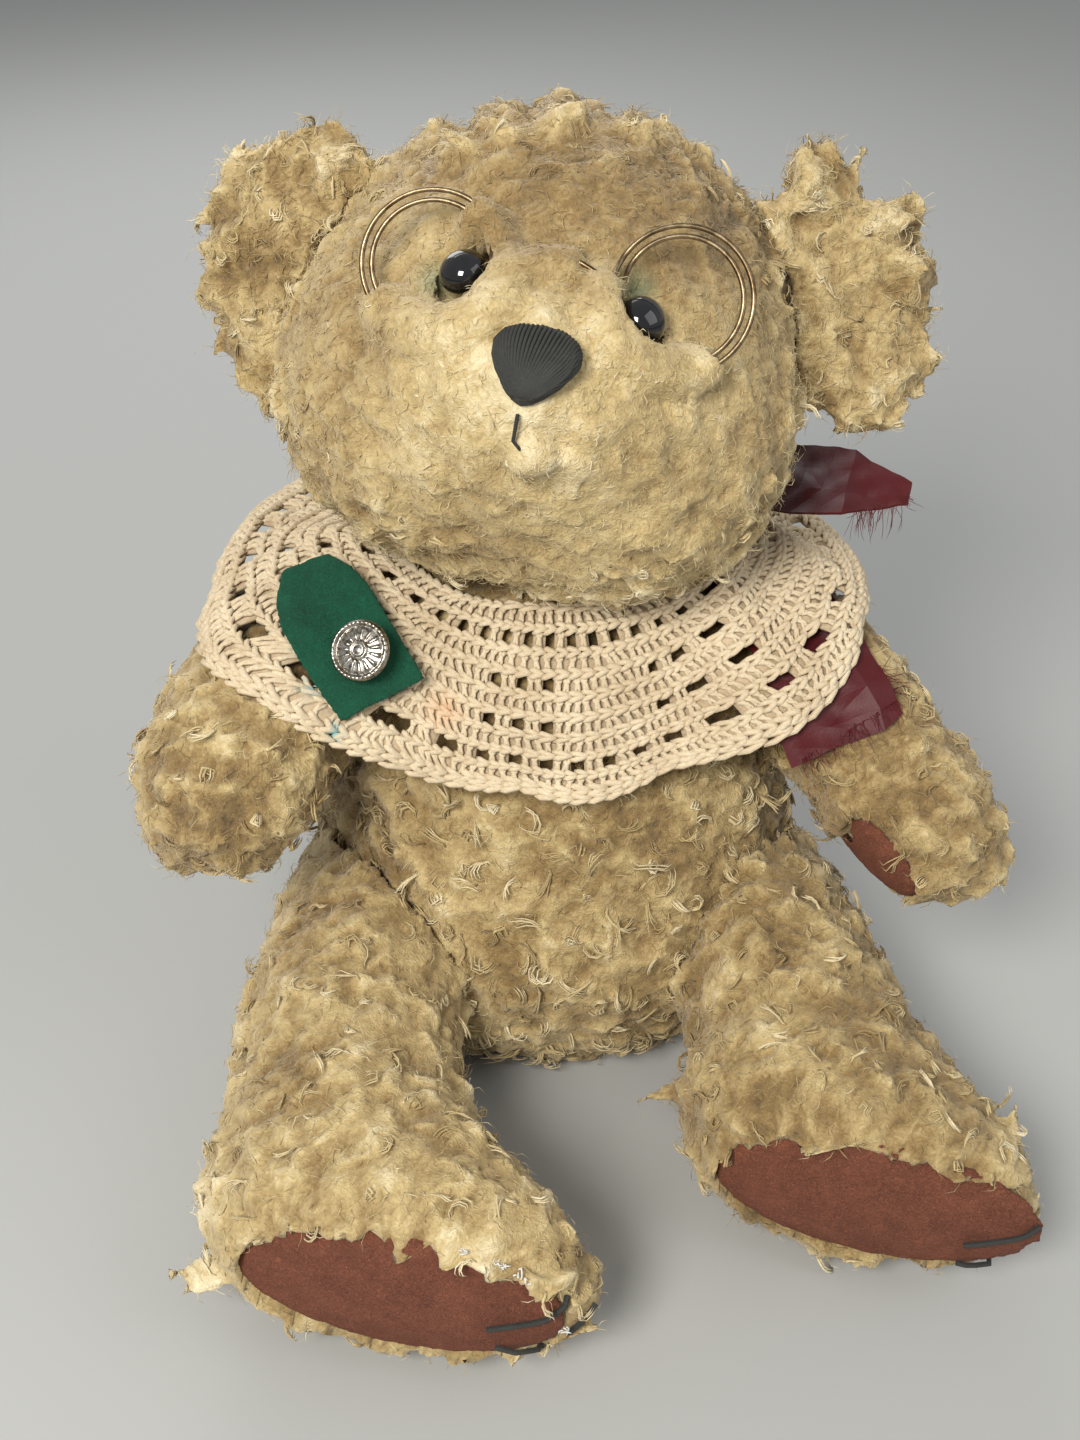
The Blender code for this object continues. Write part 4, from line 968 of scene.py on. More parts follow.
def has_room(roots, outward, lines, blockers, keep_out):
    """Which locks have room: not under a cover, not through one, not over an eye or the nose."""
    keep = np.ones(len(roots), dtype=bool)
    for centre, radius in keep_out:
        keep &= length_of(lines - np.array(centre)).min(axis=1) > radius
    for i in np.nonzero(keep)[0]:
        root, normal = Vector(roots[i]), Vector(outward[i])
        if blockers.ray_cast(root - normal * 0.001, normal, 0.011)[0] is not None:
            keep[i] = False
            continue
        for point in lines[i][1:]:
            place, facing, _, _ = blockers.find_nearest(Vector(point), 0.004)
            if place is not None and (Vector(point) - place).dot(facing) < 0.0002:
                keep[i] = False
                break
    return keep


def matted_curls(node, style, seed, blockers, keep_out):
    """Thick soft curls that lie on a node and melt into its matted pile, as closed shapes."""
    rng = np.random.default_rng(SEED * 100 + seed + 70)
    count = style["curls"]
    roots, outward, _ = scattered(NODES[node].data, count, rng)
    face = face_share(node, roots)
    heading = heading_of(roots, outward, style, seed, 0.9, rng)
    length = rng.uniform(6.5 * MM, 12 * MM, count) * (1 - 0.35 * face)
    turn = rng.choice((-1, 1), count) * rng.uniform(1.2, 4.4, count)
    lift = np.radians(rng.uniform(22, 50, count)) * (1 - 0.35 * face)
    wide = rng.uniform(*style["curl_width"], count) / 2 * (1 - 0.15 * face)
    start = roots - outward * (wide * 0.7)[:, None]
    steps = len(CURL_PROFILE) - 1
    still = np.zeros(count)
    lines = curled(start, outward, heading, length, turn, still, lift, lift * 2.1, steps, 2.0 * MM)
    clear = [(centre, radius + 0.0024) for centre, radius in keep_out]
    keep = has_room(roots, outward, lines, blockers, clear)
    ups = np.repeat(outward[:, None], steps + 1, axis=1)[keep]
    return tubes(lines[keep], wide[keep], ups, 6, CURL_PROFILE, 0.8)


def make_base(node, style, seed, material, wire_points, eyes, blockers, keep_out):
    """The matted pile: the CAD solid, drawn in a little, with curls melted in and small lumps."""
    curls = matted_curls(node, style, seed, blockers, keep_out)
    mesh = remeshed(node, node + "_plush", style["voxel"], 1, [curls])
    places, _, normals = arrays_of(mesh)
    small = lumps(places, style["clump"], seed)
    face = face_share(node, places)
    relief = style["relief"] * (1 - 0.4 * face)
    broad = waves(places, 0.016, seed + 60) * relief * 0.4
    broad = broad + waves(places, 0.012, seed + 61) * 0.0005 * face
    solid = tree_of([node])
    above = np.empty(len(places))
    for i, place in enumerate(places):
        near, facing, _, _ = solid.find_nearest(Vector(place))
        above[i] = (Vector(place) - near).dot(facing)
    height = -style["shrink"] + relief * (small - 0.6) + broad
    for centre, radius in eyes:
        far = length_of(places - np.array(centre)) - radius
        height = height - clipped(1.3 - far / EYE_HOLLOW_REACH) * EYE_HOLLOW
    covering = over_wire(node, places, normals, wire_points, eyes)
    over = np.maximum(height, covering + (small - 0.5) * 0.0006)
    height = np.where(covering > 0, over, height)
    clawed = near_claws(node, places)
    height = height * (1 - clawed) + (UNDER_CLAW - above) * clawed
    moved = places + normals * height[:, None] + dented(node, places)
    moved = moved + around_pads(node, places) * (1 - clawed)[:, None]
    moved[:, 2] = np.maximum(moved[:, 2], 0.0002)
    move_to(mesh, moved)
    # painted shade: the tone is darker in the creases between clumps and where the pile lies low
    # over the solid, and paler on raised clumps; the waves add random tone
    raised = np.clip(above / 0.0022, -0.3, 1.0)
    deep = (raised - 0.30) * 0.34 + (small - 0.60) * 0.24
    deep = deep + waves(places, 0.007, seed + 65) * 0.055 + broad / MM * 0.06
    set_attribute(mesh, "tone", 0.47 + deep * (1 - 0.25 * face) + region_tone(node, moved))
    set_attribute(mesh, "stain", eye_stain(node, moved))
    base = new_object(node + "_plush", mesh, material, node)
    return base


def strand_group(lines, outward, radii, tones):
    """Tapered strands with a tone that grows paler to the tip: places, faces and tones."""
    steps = lines.shape[1] - 1
    taper = np.interp(np.arange(steps + 1) / steps, *STRAND_PROFILE)
    ups = np.repeat(outward[:, None], steps + 1, axis=1)
    places, faces = tubes(lines, radii, ups, STRAND_SIDES, taper)
    along = np.append(np.repeat(np.arange(steps) / steps, STRAND_SIDES), 1.0)
    return places, faces, (tones[:, None] + (along - 0.4) * TIP_PALER).ravel()


def strand_object(name, groups, node, material):
    places, faces, tones, first = [], [], [], 0
    for own_places, own_faces, own_tones in groups:
        places.append(own_places)
        tones.append(own_tones)
        faces += [part + first for part in own_faces]
        first += len(own_places)
    places = np.concatenate(places)
    stain = eye_stain(node, places)
    mesh = mesh_of(name, places, faces, tone=np.concatenate(tones), stain=stain)
    new_object(name, mesh, material, node)


def make_fuzz(node, base, style, seed, material, blockers, keep_out):
    """Fine loose fibres all over a plush base."""
    rng = np.random.default_rng(SEED * 100 + seed)
    count = style["fibres"]
    roots, outward, tones = scattered(base.data, count, rng)
    roots = roots - outward * 0.0004
    heading = heading_of(roots, outward, style, seed, 0.9, rng)
    length = rng.uniform(3.0 * MM, 6.5 * MM, count) * (1 - 0.3 * face_share(node, roots))
    turn = rng.normal(0, 1.6, count)
    lift = np.radians(rng.uniform(18, 70, count))
    fall = lift * 0.9 + np.radians(rng.uniform(0, 50, count))
    still = np.zeros(count)
    lines = curled(roots, outward, heading, length, turn, still, lift, fall, 2, 0.6 * MM)
    keep = has_room(roots, outward, lines, blockers, keep_out)
    radii = rng.uniform(0.055 * MM, 0.13 * MM, count)
    tones = tones + 0.06 + rng.normal(0, 0.08, count)
    group = strand_group(lines[keep], outward[keep], radii[keep], tones[keep])
    strand_object(node + "_fuzz", [group], node, material)


def make_locks(node, base, style, seed, material, blockers, keep_out):
    """Paler curled locks of a few strands each that stand out of the matted pile."""
    rng = np.random.default_rng(SEED * 100 + seed + 50)
    count = style["locks"]
    roots, outward, tones = scattered(base.data, count, rng)
    face = face_share(node, roots)
    wanted = rng.random(count) > face * 0.55
    roots, outward, tones, face = roots[wanted], outward[wanted], tones[wanted], face[wanted]
    count = len(roots)
    heading = heading_of(roots, outward, style, seed, style["stray"], rng)
    length = rng.uniform(*style["length"], count) * (1 - 0.40 * face)
    turn = rng.choice((-1, 1), count) * rng.uniform(*style["turn"], count)
    wave = rng.normal(0, 0.8, count)
    lift = np.radians(rng.uniform(*style["lift"], count)) * (1 - 0.45 * face)
    fall = lift + np.radians(rng.uniform(15, 55, count))
    steps = style["steps"]
    start = roots - outward * 0.0006
    lines = curled(start, outward, heading, length, turn, wave, lift, fall, steps, 1.0 * MM)
    keep = has_room(roots, outward, lines, blockers, keep_out)
    wide = rng.uniform(*style["thick"], count) / 2 * (1 - 0.25 * face)
    tones = tones + style["paler"] + rng.normal(0, 0.09, count)
    side = np.cross(outward, unit(heading))
    groups = []
    for _ in range(style["strands"]):
        aside = side * (rng.uniform(-1, 1, count) * wide)[:, None]
        place = start + (aside + outward * (rng.uniform(-0.4, 0.7, count) * wide)[:, None])
        own_length = length * rng.uniform(0.80, 1.12, count)
        own_turn = turn * rng.uniform(0.85, 1.15, count)
        own = curled(
            place, outward, heading, own_length, own_turn, wave, lift, fall, steps, 0.6 * MM
        )
        radii = rng.uniform(0.14 * MM, 0.30 * MM, count)
        own_tones = tones + rng.normal(0, 0.07, count)
        groups.append(strand_group(own[keep], outward[keep], radii[keep], own_tones[keep]))
    strand_object(node + "_locks", groups, node, material)


# Face


def face_hit(tree, side, height):
    origin = HEAD @ Vector((side, -0.3, height))
    place, normal, _, _ = tree.ray_cast(origin, HEAD.to_3x3() @ Vector((0, 1, 0)))
    return place, normal


def frame_on(place, outward, up):
    """A frame at a place that looks outward, with its z axis up."""
    along = up.cross(outward)
    y_axis = -outward.normalized()
    x_axis = (along - y_axis * along.dot(y_axis)).normalized()
    turned = Matrix((x_axis, y_axis, x_axis.cross(y_axis))).transposed().to_4x4()
    return Matrix.Translation(place) @ turned


def make_eyes(material):
    """Smooth glossy domes in the place of the CAD eyes; gives their places and radii."""
    spots = []
    for side in ("left", "right"):
        places = places_of("eye_" + side)
        middle = Vector(places.mean(axis=0))
        outward = Vector(unit(np.linalg.svd(places - places.mean(axis=0))[2][0]))
        if outward.dot(HEAD.to_3x3() @ Vector((0, -1, 0))) < 0:
            outward = -outward
        top = max((Vector(place) - middle).dot(outward) for place in places)
        centre = middle + outward * (top - EYE_DEPTH / 2)
        size = Matrix.Diagonal((EYE_RADIUS, EYE_DEPTH / 2, EYE_RADIUS, 1))
        bpy.ops.mesh.primitive_uv_sphere_add(segments=48, ring_count=24, radius=1.0)
        piece = bpy.context.object
        piece.data.transform(frame_on(centre, outward, HEAD_UP) @ size)
        piece.data.materials.append(material)
        piece.data.shade_smooth()
        piece.name = "eye_dome_" + side
        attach(piece, "root")
        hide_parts("eye_" + side)
        spots.append((centre, EYE_RADIUS + 0.0002))
    return spots


def nose_outline(angle):
    widening = (1 + NOSE_TAPER * math.sin(angle)) / (1 + NOSE_TAPER * NOSE_WIDEST_AT)
    return math.cos(angle) * widening * NOSE_WIDTH / 2, math.sin(angle) * NOSE_HEIGHT / 2


def make_nose(material):
    """Wool stitches from the nose's top edge down to its point; gives the nose's middle."""
    tree = tree_of(["nose"])
    middle, outward = face_hit(tree_of(["head"]), 0.0, NOSE_RISE)
    matrix = frame_on(middle, outward, HEAD_UP)
    inward = matrix.to_3x3() @ Vector((0, 1, 0))
    threads, steps = [], 12
    for i in range(NOSE_THREADS):
        across = 2 * (i + 0.5) / NOSE_THREADS - 1
        upper = nose_outline(math.pi / 2 - across * math.radians(82))
        lower = nose_outline(-math.pi / 2 + across * math.radians(24))
        points = []
        for k in range(steps + 1):
            down = k / steps
            spread = 1 + 0.26 * math.sin(math.pi * down)
            x = (upper[0] + (lower[0] - upper[0]) * down) * spread * 0.97
            z = (upper[1] + (lower[1] - upper[1]) * down) * 0.97
            place, _, _, _ = tree.ray_cast(matrix @ Vector((x, -0.02, z)), inward, 0.04)
            if place is None:
                place, _, _, _ = tree.find_nearest(matrix @ Vector((x, -0.001, z)))
            points.append(tuple(place - inward * (0.00015 - 0.0003 * (k in (0, steps)))))
        threads.append(points)
    lines = np.array(threads)
    ups = np.broadcast_to(-np.array(inward), lines.shape)
    taper = np.ones(steps + 1)
    taper[[0, -2]] = 0.8
    shape = tubes(lines, np.full(NOSE_THREADS, NOSE_THREAD_RADIUS), ups, 6, taper)
    new_object("nose_stitches", mesh_of("nose_stitches", *shape), material)
    return matrix @ Vector((0, -0.001, 0.0))


def make_spectacles(material):
    """The smooth wire in the place of the CAD wire; gives the parts that the pile covers."""
    tree = tree_of(["head", "eye_left", "eye_right"])
    tilt = Matrix.Rotation(SPECTACLES_TILT, 4, "Y")
    per_turn, rim = 18, []
    for i in range(int(RIM_TURNS * per_turn) + 1):
        turned = i / per_turn
        angle = 2 * math.pi * turned
        radius = RIM_RADIUS + RIM_SPREAD * (turned / RIM_TURNS - 0.5)
        x, z = RIM_SIDE - radius * math.cos(angle), radius * math.sin(angle)
        rim.append(Vector((x, -RIM_PITCH * turned, z)))
    rim.reverse()
    path = [Vector((-p.x, p.y, p.z)) for p in reversed(rim)]
    inner = rim[0]
    for i in range(1, 6):
        rise = BRIDGE_RISE * math.sin(math.pi * i / 6)
        path.append(Vector((-inner.x + 2 * inner.x * i / 6, inner.y, rise)))
    points = []
    for flat in path + rim:
        spot = tilt @ flat + Vector((0, RIM_PLANE, SPECTACLES_HEIGHT))
        place, normal = face_hit(tree, spot.x, spot.z)
        target = HEAD @ spot
        if place is not None:
            lifted = place + normal * (WIRE_DIAMETER / 2 + 0.0003 - flat.y)
            if (HEAD.inverted() @ lifted).y < spot.y:
                target = lifted
        points.append(tuple(target))
    line = smooth_line(points, 4)
    for _ in range(3):
        line[1:-1] = line[1:-1] * 0.5 + (line[:-2] + line[2:]) * 0.25
    mesh = mesh_of("spectacles_wire", *wire_shape(line, WIRE_DIAMETER / 2, 10))
    new_object("spectacles_wire", mesh, material, "spectacles")
    x, _, z = head_local(line).T
    tilt_back = -np.sign(x) * RIM_SIDE * math.tan(SPECTACLES_TILT)
    angle = np.degrees(np.arctan2(z - SPECTACLES_HEIGHT + tilt_back, np.abs(x) - RIM_SIDE))
    side = (x > 0).astype(int)
    below, above = np.array(COVERED_BELOW)[side], np.array(COVERED_ABOVE)[side]
    return line[(angle < below) | (angle > above)]


# Collar


def neighbours(grid, rest):
    """The four neighbours of each cell of a grid that runs round; rest fills in past its ends."""
    padded = np.pad(np.pad(grid, ((1, 1), (0, 0)), **rest), ((0, 0), (1, 1)), mode="wrap")
    return np.stack([padded[:-2, 1:-1], padded[2:, 1:-1], padded[1:-1, :-2], padded[1:-1, 2:]])


def collar_reach():
    """How far the collar's top lies from its centre, by azimuth and by share of the way out."""
    tree = tree_of(["collar"])
    across, down = 360, 36
    reach = np.full((down + 1, across), np.nan)
    for r in range(down + 1):
        for c in range(across):
            direction = collar_direction(2 * math.pi * c / across, r / down * 0.96 + 0.02)
            place, normal, _, _ = tree.ray_cast(COLLAR_CENTRE + direction * 0.3, -direction)
            if place is not None and normal.dot(direction) > 0.35:
                if (place - COLLAR_CENTRE).dot(direction) > 0.02:
                    reach[r, c] = (place - COLLAR_CENTRE).length
    while not np.isfinite(reach).all():
        near = neighbours(reach, {"constant_values": np.nan})
        counted = np.isfinite(near).sum(axis=0)
        total = np.where(np.isfinite(near), near, 0).sum(axis=0)
        fill = np.where(counted > 0, total / np.maximum(counted, 1), np.nan)
        missing = ~np.isfinite(reach)
        reach[missing] = fill[missing]
    for _ in range(4):
        reach = reach * 0.4 + neighbours(reach, {"mode": "edge"}).sum(axis=0) / 4 * 0.6
    return reach


def collar_direction(azimuth, share):
    facing = math.sin(azimuth)
    inner = COLLAR_INNER + (COLLAR_INNER_FRONT - COLLAR_INNER) * max(0.0, -facing)
    end = COLLAR_BACK if facing > 0 else COLLAR_FRONT
    outer = COLLAR_SIDE + (end - COLLAR_SIDE) * abs(facing)
    polar = inner + (outer - inner) * share
    wave = abs(math.sin(COLLAR_SCALLOPS / 2 * (azimuth - COLLAR_SCALLOP_TURN))) - 0.5
    polar += COLLAR_SCALLOP_DEPTH * wave * max(share, 0.0) ** 4
    level = math.sin(polar)
    return Vector((level * math.cos(azimuth), level * math.sin(azimuth), math.cos(polar)))


class Collar:
    """Maps a place in the crochet, in pairs of columns and in rows, to a place on the bear."""

    def __init__(self):
        self.reach = collar_reach()
        self.start = OPENING_AT + OPENING / 2
        self.pair = (2 * math.pi - OPENING) / (COLLAR_PAIRS + 0.5)

    def place(self, column, row, height=0.0):
        azimuth = self.start + self.pair * column
        share = row / COLLAR_ROWS
        down, across = self.reach.shape
        c = (azimuth / (2 * math.pi) * across) % across
        r = min(max((share - 0.02) / 0.96, 0.0), 1.0) * (down - 1)
        r0, c0 = int(r), int(c)
        r1, c1 = min(r0 + 1, down - 1), (c0 + 1) % across
        fr, fc = r - r0, c - int(c)
        near, far = self.reach[r0], self.reach[r1]
        reach = (near[c0 % across] * (1 - fc) + near[c1] * fc) * (1 - fr)
        reach += (far[c0 % across] * (1 - fc) + far[c1] * fc) * fr
        return COLLAR_CENTRE + collar_direction(azimuth, share) * (reach + height)

    def width(self, pair, row):
        """The length of one pair of columns at a row."""
        return (self.place(pair + 1, row) - self.place(pair, row)).length

    def at_pixel(self, px, py):
        """The place in the crochet nearest to the camera's ray through a pixel."""
        ray = camera_ray(px, py)
        best, found = 1e9, None
        for c in range(COLLAR_PAIRS * 2):
            for r in range(COLLAR_ROWS + 1):
                place = self.place(c / 2, r)
                off = (place - CAMERA_PLACE).cross(ray).length
                if off < best and (place - COLLAR_CENTRE).dot(CAMERA_PLACE - place) >= 0:
                    best, found = off, place
        return np.array(found)


def is_filet(pair_index):
    return pair_index % COLLAR_REPEAT < COLLAR_FILET_PAIRS


def is_gap(pair_index, row):
    return row in COLLAR_EYELET_ROWS or (row in COLLAR_FILET_ROWS and is_filet(pair_index))


def make_collar(material, shaded_under_material):
    """The crochet's ground, a sheet with the open meshes cut out, and the stitches on it."""
    collar = Collar()
    columns = 2 * COLLAR_PAIRS + 1
    fine = 3
    grid, places, faces = {}, [], []

    def column_at(c):
        whole, part = divmod(c, 2 * fine)
        if part <= fine:
            return whole + part / fine * (1 - COLLAR_GAP_SHARE)
        return whole + (1 - COLLAR_GAP_SHARE) + (part - fine) / fine * COLLAR_GAP_SHARE

    def corner(c, r):
        if (c, r) not in grid:
            grid[c, r] = len(places)
            places.append(tuple(collar.place(column_at(c), r / fine, -GROUND_DEPTH)))
        return grid[c, r]

    for c in range(columns * fine):
        for r in range(COLLAR_ROWS * fine):
            narrow = (c // fine) % 2 == 1
            if narrow and is_gap(c // (2 * fine), r // fine):
                continue
            faces.append((corner(c, r), corner(c + 1, r), corner(c + 1, r + 1), corner(c, r + 1)))
    mesh = mesh_of("collar_ground", np.array(places), [np.array(faces)])
    sheet = new_object("collar_ground", mesh, shaded_under_material, "collar")
    solid = sheet.modifiers.new("Solidify", "SOLIDIFY")
    solid.thickness = GROUND_THICKNESS
    solid.offset = 0.0
    made = evaluated(sheet)
    sheet.modifiers.clear()
    sheet.data = made
    made.shade_smooth()
    make_stitches(collar, material)


def make_stitches(collar, material):
    """The visible yarn: chains of slanted loops along the rows, and posts between them."""
    rng = np.random.default_rng(SEED + 50)
    segments = []

    def yarn(points, radius):
        segments.append(([tuple(collar.place(*point)) for point in points], radius))

    def chain(row, pair, share, pitch, reach, thick):
        """Slanted loops in two lines that meet in the middle, like a braid."""
        loops = max(1, round(collar.width(pair, row) * share / pitch))
        step = share / loops
        for i in range(loops):
            a = pair + i * step + rng.normal(0, 0.03) * step
            base = 0.0004 + rng.normal(0, 0.00010)
            r = row + rng.normal(0, 0.025)
            for sign in (-1, 1):
                loop = (
                    (a, r + sign * reach, base - 0.0005),
                    (a + step * 0.35, r + sign * reach * 0.95, base + 0.0003),
                    (a + step * 0.8, r + sign * reach * 0.35, base + 0.0005),
                    (a + step * 1.2, r, base - 0.0001),
                    (a + step * 1.35, r, base - 0.0008),
                )
                yarn(loop, thick * rng.uniform(0.92, 1.08))

    for row in range(COLLAR_ROWS + 1):
        for pair in range(COLLAR_PAIRS + 1):
            share = 1.0 if pair < COLLAR_PAIRS else 0.5
            if row < COLLAR_ROWS:
                chain(row, pair, share, LOOP_PITCH, LOOP_REACH, LOOP_RADIUS)
            else:
                for past, pitch, reach, thick in EDGE_CHAINS:
                    chain(row + past, pair, share, pitch, reach, thick)
    for row in range(COLLAR_ROWS):
        for pair in range(COLLAR_PAIRS + 1):
            width = collar.width(pair, row + 0.5)
            share = 1 - COLLAR_GAP_SHARE
            if pair == COLLAR_PAIRS:
                share = 0.5
            elif not is_gap(pair, row):
                share = 1.0
            fan = 0.0 if is_filet(pair) else (pair % COLLAR_REPEAT - 4) * 0.10
            posts = max(1, round(share * width / POST_PITCH))
            for k in range(posts):
                c = pair + share * (k + 0.5) / posts + rng.normal(0, 0.02)
                lean = rng.normal(0.03, 0.03) + fan
                deep = rng.normal(0, 0.0001)
                for twist in (-1, 1):
                    off = twist * PLY_OFFSET / width
                    post = (
                        (c - lean - off, row + 0.08, deep - 0.0001),
                        (c - lean * 0.5 - off, row + 0.28, deep + 0.0003),
                        (c + off * 0.3, row + 0.5, deep + 0.0005 + twist * 0.0001),
                        (c + lean * 0.5 + off, row + 0.74, deep + 0.0003),
                        (c + lean + off, row + 0.95, deep - 0.0001),
                    )
                    yarn(post, POST_RADIUS)
    lines = np.array([points for points, _ in segments])
    radii = np.array([radius for _, radius in segments])
    ups = unit(lines - np.array(COLLAR_CENTRE))
    places, faces = tubes(lines, radii, ups, 5, (0.7, 1.0, 1.0, 0.75, 0.1))
    stain = clipped(1.2 - length_of(places - collar.at_pixel(*ORANGE_AT)) / ORANGE_REACH)
    dye = np.zeros(len(places))
    for pixel in CYAN_AT:
        far = length_of(places - collar.at_pixel(*pixel))
        dye = np.maximum(dye, np.clip(1.3 - far / CYAN_REACH, 0, 0.75))
    dye = dye * (waves(places, 0.0015, 81) > 0.1)
    mesh = mesh_of("collar_stitches", places, faces, stain=stain, dye=dye)
    return new_object("collar_stitches", mesh, material)


# Ribbon


def make_ribbon(material):
    """Two satin tails and a knot, with fine folds, and threads out of the frayed edges."""
    work = bmesh.new()
    work.from_mesh(NODES["ribbon"].data)
    bmesh.ops.subdivide_edges(work, edges=work.edges[:], cuts=4, use_grid_fill=True)
    bmesh.ops.triangulate(work, faces=work.faces[:])
    mesh = bpy.data.meshes.new("ribbon_satin")
    work.to_mesh(mesh)
    work.free()
    places, _, normals = arrays_of(mesh)
    ends = np.array([edge.vertices[:] for edge in mesh.edges])
    degree = np.bincount(ends.ravel(), minlength=len(places))[:, None]
    for _ in range(RIBBON_SMOOTHING):
        total = np.zeros_like(places)
        np.add.at(total, ends[:, 0], places[ends[:, 1]])
        np.add.at(total, ends[:, 1], places[ends[:, 0]])
        bend = ((total / degree - places) * normals).sum(axis=1)
        places = places + normals * (bend * 0.5)[:, None]
    ripple = waves(places, 0.016, 91) * 0.0008 + waves(places, 0.006, 92) * 0.00025
    move_to(mesh, places + np.array((0.2, -0.4, 0.6)) * ripple[:, None])
    mesh.shade_smooth()
    # painted shade: the upper tail is darker near the head, under the ear
    under_ear_shade = clipped((0.070 - places[:, 0]) / 0.014) * (places[:, 2] > 0.130)
    set_attribute(mesh, "tone", 0.44 + 0.06 * waves(places, 0.020, 93) - 0.24 * under_ear_shade)
    piece = new_object("ribbon_satin", mesh, material, "ribbon")
    make_fray(material)


def make_fray(material):
    """Loose threads along the frayed edges of both tails."""
    rng = np.random.default_rng(SEED + 90)
    tree = tree_of(["ribbon"])
    lines = []
    for start, end, heading, count in FRAYED:
        for _ in range(count):
            share = rng.random()
            px = start[0] + (end[0] - start[0]) * share
            py = start[1] + (end[1] - start[1]) * share
            root = on_node(tree, px, py)
            far = rng.uniform(0.3, 1.0)
            px += heading[0] * far + rng.normal(0, 6)
            py += heading[1] * far + rng.normal(0, 6)
            lines.append(bowed(root, at_ray(px, py, root), Vector(rng.normal(0, 0.0006, 3))))
    lines = np.array(lines)
    ups = np.broadcast_to(np.array((0.3, -0.8, 0.5)), lines.shape)
    radii = rng.uniform(0.05 * MM, 0.10 * MM, len(lines))
    places, faces = tubes(lines, radii, ups, 3, (1.0, 1.0, 0.9, 0.8, 0.3))
    mesh = mesh_of("ribbon_threads", places, faces, tone=np.full(len(places), 0.55))
    return new_object("ribbon_threads", mesh, material)


# Felt and button


def make_felt(node, name, voxel, fuzz, material):
    mesh = remeshed(node, name, voxel, 2)
    places, _, normals = arrays_of(mesh)
    uneven = waves(places, 0.0016, 61) * fuzz + waves(places, 0.006, 62) * fuzz
    move_to(mesh, places + normals * uneven[:, None])
    return new_object(name, mesh, material, node)


def make_worn_seam(material):
    """Short white threads that show at the worn upper seam of one sole."""
    rng = np.random.default_rng(SEED + 120)
    tree = tree_of(["sole_pad_right"])
    outward = unit(np.array(CAMERA_PLACE))
    lines = []
    for px, py in WORN_SEAM:
        root = np.array(on_node(tree, px, py)) + outward * 0.0022
        for _ in range(4):
            heading = rng.normal(0, 1.0, 3) * (0.0013, 0.0004, 0.0013)
            bend = Vector(rng.normal(0, 0.0003, 3))
            middle = root + rng.normal(0, 0.0005, 3)
            lines.append(bowed(Vector(middle - heading / 2), Vector(middle + heading / 2), bend))
    lines = np.array(lines)
    ups = np.broadcast_to(outward, lines.shape)
    shape = tubes(lines, np.full(len(lines), 0.17 * MM), ups, 4, (0.8, 1.0, 1.0, 0.9, 0.4))
    new_object("worn_seam_threads", mesh_of("worn_seam_threads", *shape), material)


def make_button(material):
    """A lathe-turned button with generic bars and beads in relief."""
    places = places_of("tag_button")
    upward = (TAG_TOP - TAG_BOTTOM).normalized()
    facing = (TAG_FACING - upward * TAG_FACING.dot(upward)).normalized()
    matrix = frame_on(TAG_TOP.lerp(TAG_BOTTOM, 0.5), facing, upward)
    x_axis, inward, z_axis = np.array(matrix.to_3x3()).T
    outward = -inward
    rim = places[length_of(places - places.mean(axis=0)) > BUTTON_RADIUS * 0.8]
    centre = rim.mean(axis=0)
    back = (places @ outward).max() - BUTTON_THICKNESS
    centre = centre + outward * (back - centre @ outward)
    angle = 2 * math.pi * np.arange(BUTTON_SIDES) / BUTTON_SIDES
    ring = np.cos(angle)[:, None] * x_axis + np.sin(angle)[:, None] * z_axis
    rows = []
    for reach, height in BUTTON_PROFILE:
        level = np.full(BUTTON_SIDES, height * BUTTON_THICKNESS)
        if 0.40 < reach < 0.74:
            bar = np.cos(angle * BUTTON_BARS)
            level = level + (bar > (0.15 if 0.45 < reach < 0.69 else 0.6)) * 0.00030
        if 0.82 < reach < 0.95:
            level = level + 0.00008 * np.cos(angle * BUTTON_BEADS)
        rows.append(centre + ring * reach * BUTTON_RADIUS + outward * level[:, None])
    verts = np.concatenate(rows + [[centre + outward * BUTTON_THICKNESS], [centre]])
    top, bottom, last = len(verts) - 2, len(verts) - 1, (len(rows) - 1) * BUTTON_SIDES
    edges = [(i, (i + 1) % BUTTON_SIDES) for i in range(BUTTON_SIDES)]
    quads = []
    for low in range(0, last, BUTTON_SIDES):
        high = low + BUTTON_SIDES
        quads += [(low + i, high + i, high + j, low + j) for i, j in edges]
    ends = [(top, i, j) for i, j in edges] + [(bottom, last + j, last + i) for i, j in edges]
    mesh = mesh_of("button_relief", verts, [np.array(quads), np.array(ends)])
    new_object("button_relief", mesh, material, "tag_button")


# Surroundings


def link_new(name, data):
    thing = bpy.data.objects.new(name, data)
    bpy.context.scene.collection.objects.link(thing)
    return thing


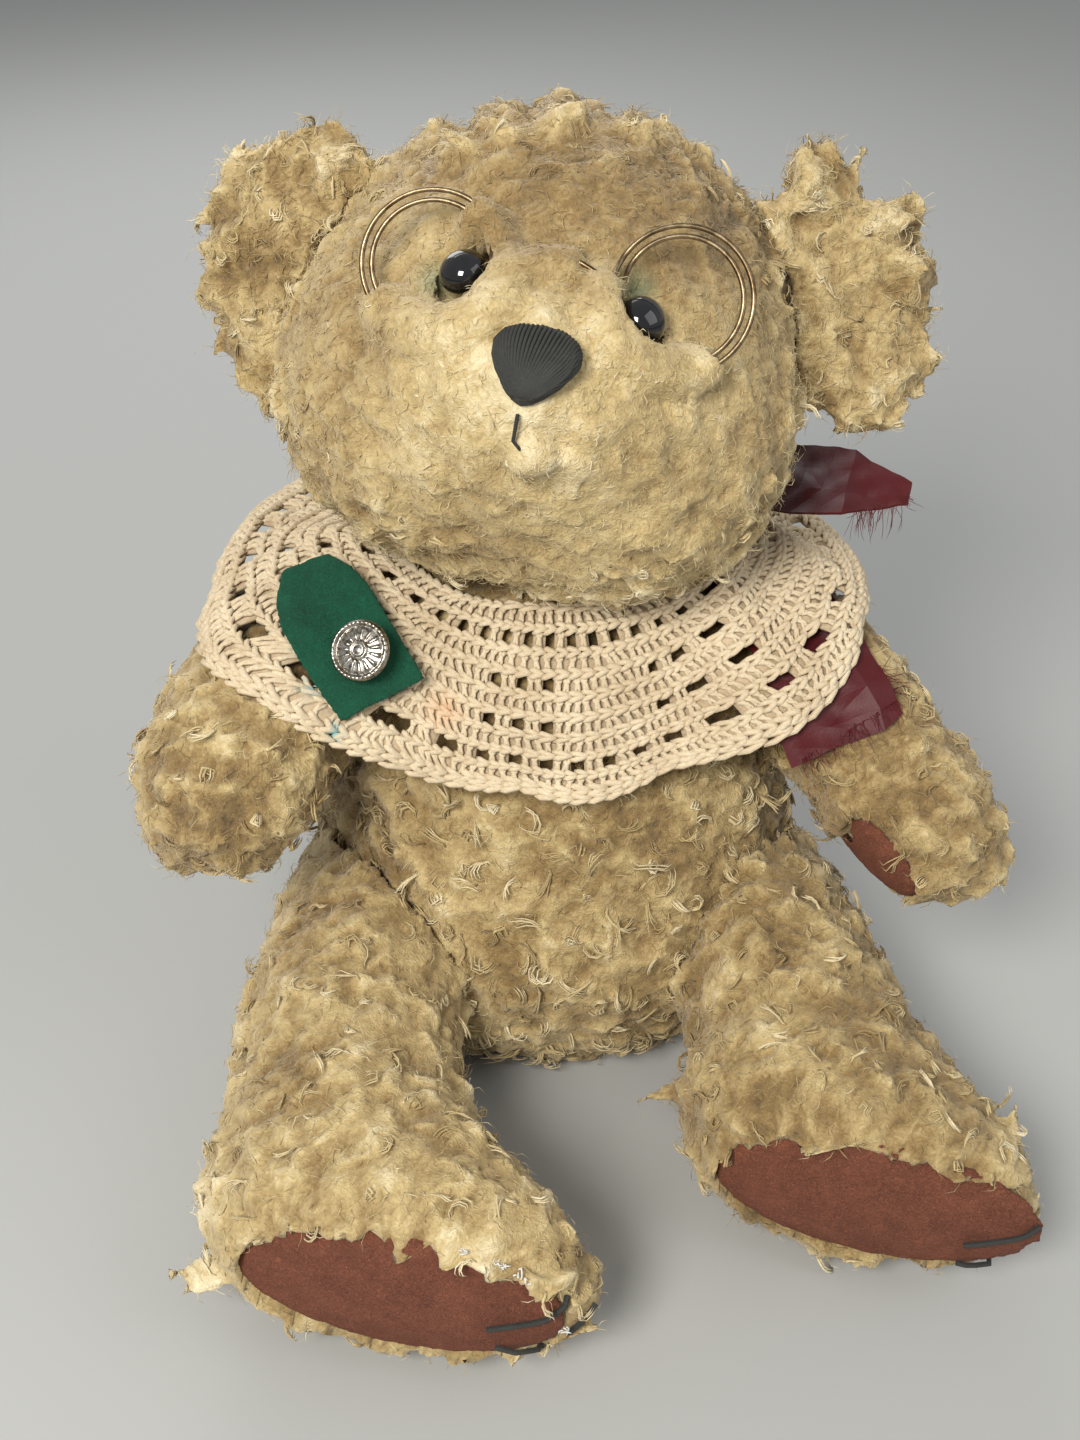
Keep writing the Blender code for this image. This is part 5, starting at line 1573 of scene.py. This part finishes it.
def make_surroundings():
    scene = bpy.context.scene
    camera = link_new("camera", bpy.data.cameras.new("camera"))
    camera.data.lens = CAMERA_LENS
    camera.data.clip_start = 0.01
    camera.location = CAMERA_PLACE
    camera.rotation_euler = (CAMERA_TILT, 0, 0)
    scene.camera = camera
    material, _, shader = new_material("floor", 0.9)
    shader.inputs["Base Color"].default_value = FLOOR_COLOUR
    corners = np.array([(-1, -1, 0), (1, -1, 0), (1, 1, 0), (-1, 1, 0)], dtype=float)
    mesh = mesh_of("floor", corners * FLOOR_REACH, [np.array([(0, 1, 2, 3)])])
    mesh.materials.append(material)
    link_new("floor", mesh)
    world = bpy.data.worlds.new("studio")
    world.use_nodes = True
    background = world.node_tree.nodes["Background"]
    background.inputs["Color"].default_value = WORLD_COLOUR
    background.inputs["Strength"].default_value = WORLD_STRENGTH
    scene.world = world
    for name, (place, size, energy, colour) in LIGHTS.items():
        light = link_new(name, bpy.data.lights.new(name, "AREA"))
        light.data.energy = energy
        light.data.size = size
        light.data.color = colour
        light.location = place
        towards = (LIGHTS_AIM - Vector(place)).to_track_quat("-Z", "Y")
        light.rotation_euler = towards.to_euler()
    scene.view_settings.view_transform = "Standard"


def main():
    noise.seed_set(SEED)
    make_surroundings()
    plush_ground = plush_material("plush_ground", 700, 0.0012, -0.04)
    plush_locks = plush_material("plush_locks", 1500, 0.0004, 0.0)
    rust = felt_material("felt_rust", *RUST, 1000, 0.2)
    green = felt_material("felt_deep_green", *GREEN, 1200, 0.08)
    crochet = yarn_material("crochet_cotton", *COTTON, 0.85, 1400, marked=True)
    # the ground sheet gets the darker cotton as painted shade
    ground = yarn_material("crochet_ground", *SHADED_COTTON, 0.9, 1200)
    wool = yarn_material("nose_wool", *WOOL, 0.8, 2200)
    eyes = make_eyes(eye_material())
    nose_middle = make_nose(wool)
    buried = make_spectacles(metal_material("bronze_wire", *BRONZE, 0.34, 260))
    thread = places_of("mouth_stitch")
    buried = np.concatenate([buried, thread[head_local(thread)[:, 2] < MOUTH_BURIED]])
    for node in ("nose", "mouth_stitch", *(n for n in NODES if n.startswith("claw"))):
        NODES[node].data.materials.clear()
        NODES[node].data.materials.append(wool)
    covers = [n for n in NODES if n.startswith(("sole_pad", "paw_pad", "claw"))]
    blockers = tree_of((*covers, "collar", "felt_tag", "tag_button", "ribbon", "nose"))
    keep_out = eyes + [(nose_middle, NOSE_ROOM)]
    for seed, (node, style) in enumerate(LOOKS.items()):
        base = make_base(node, style, seed, plush_ground, buried, eyes, blockers, keep_out)
        make_fuzz(node, base, style, seed, plush_locks, blockers, keep_out)
        make_locks(node, base, style, seed, plush_locks, blockers, keep_out)
    make_collar(crochet, ground)
    make_ribbon(ribbon_material())
    for node in ("sole_pad_left", "sole_pad_right", "paw_pad_left", "paw_pad_right"):
        make_felt(node, node + "_felt", 0.9 * MM, 0.0001, rust)
    tag = make_felt("felt_tag", "tag_felt", 0.6 * MM, 0.00006, green)
    make_button(metal_material("worn_nickel", *NICKEL, 0.26, 900))
    make_worn_seam(yarn_material("white_thread", *WHITE, 0.8, 1500))


main()
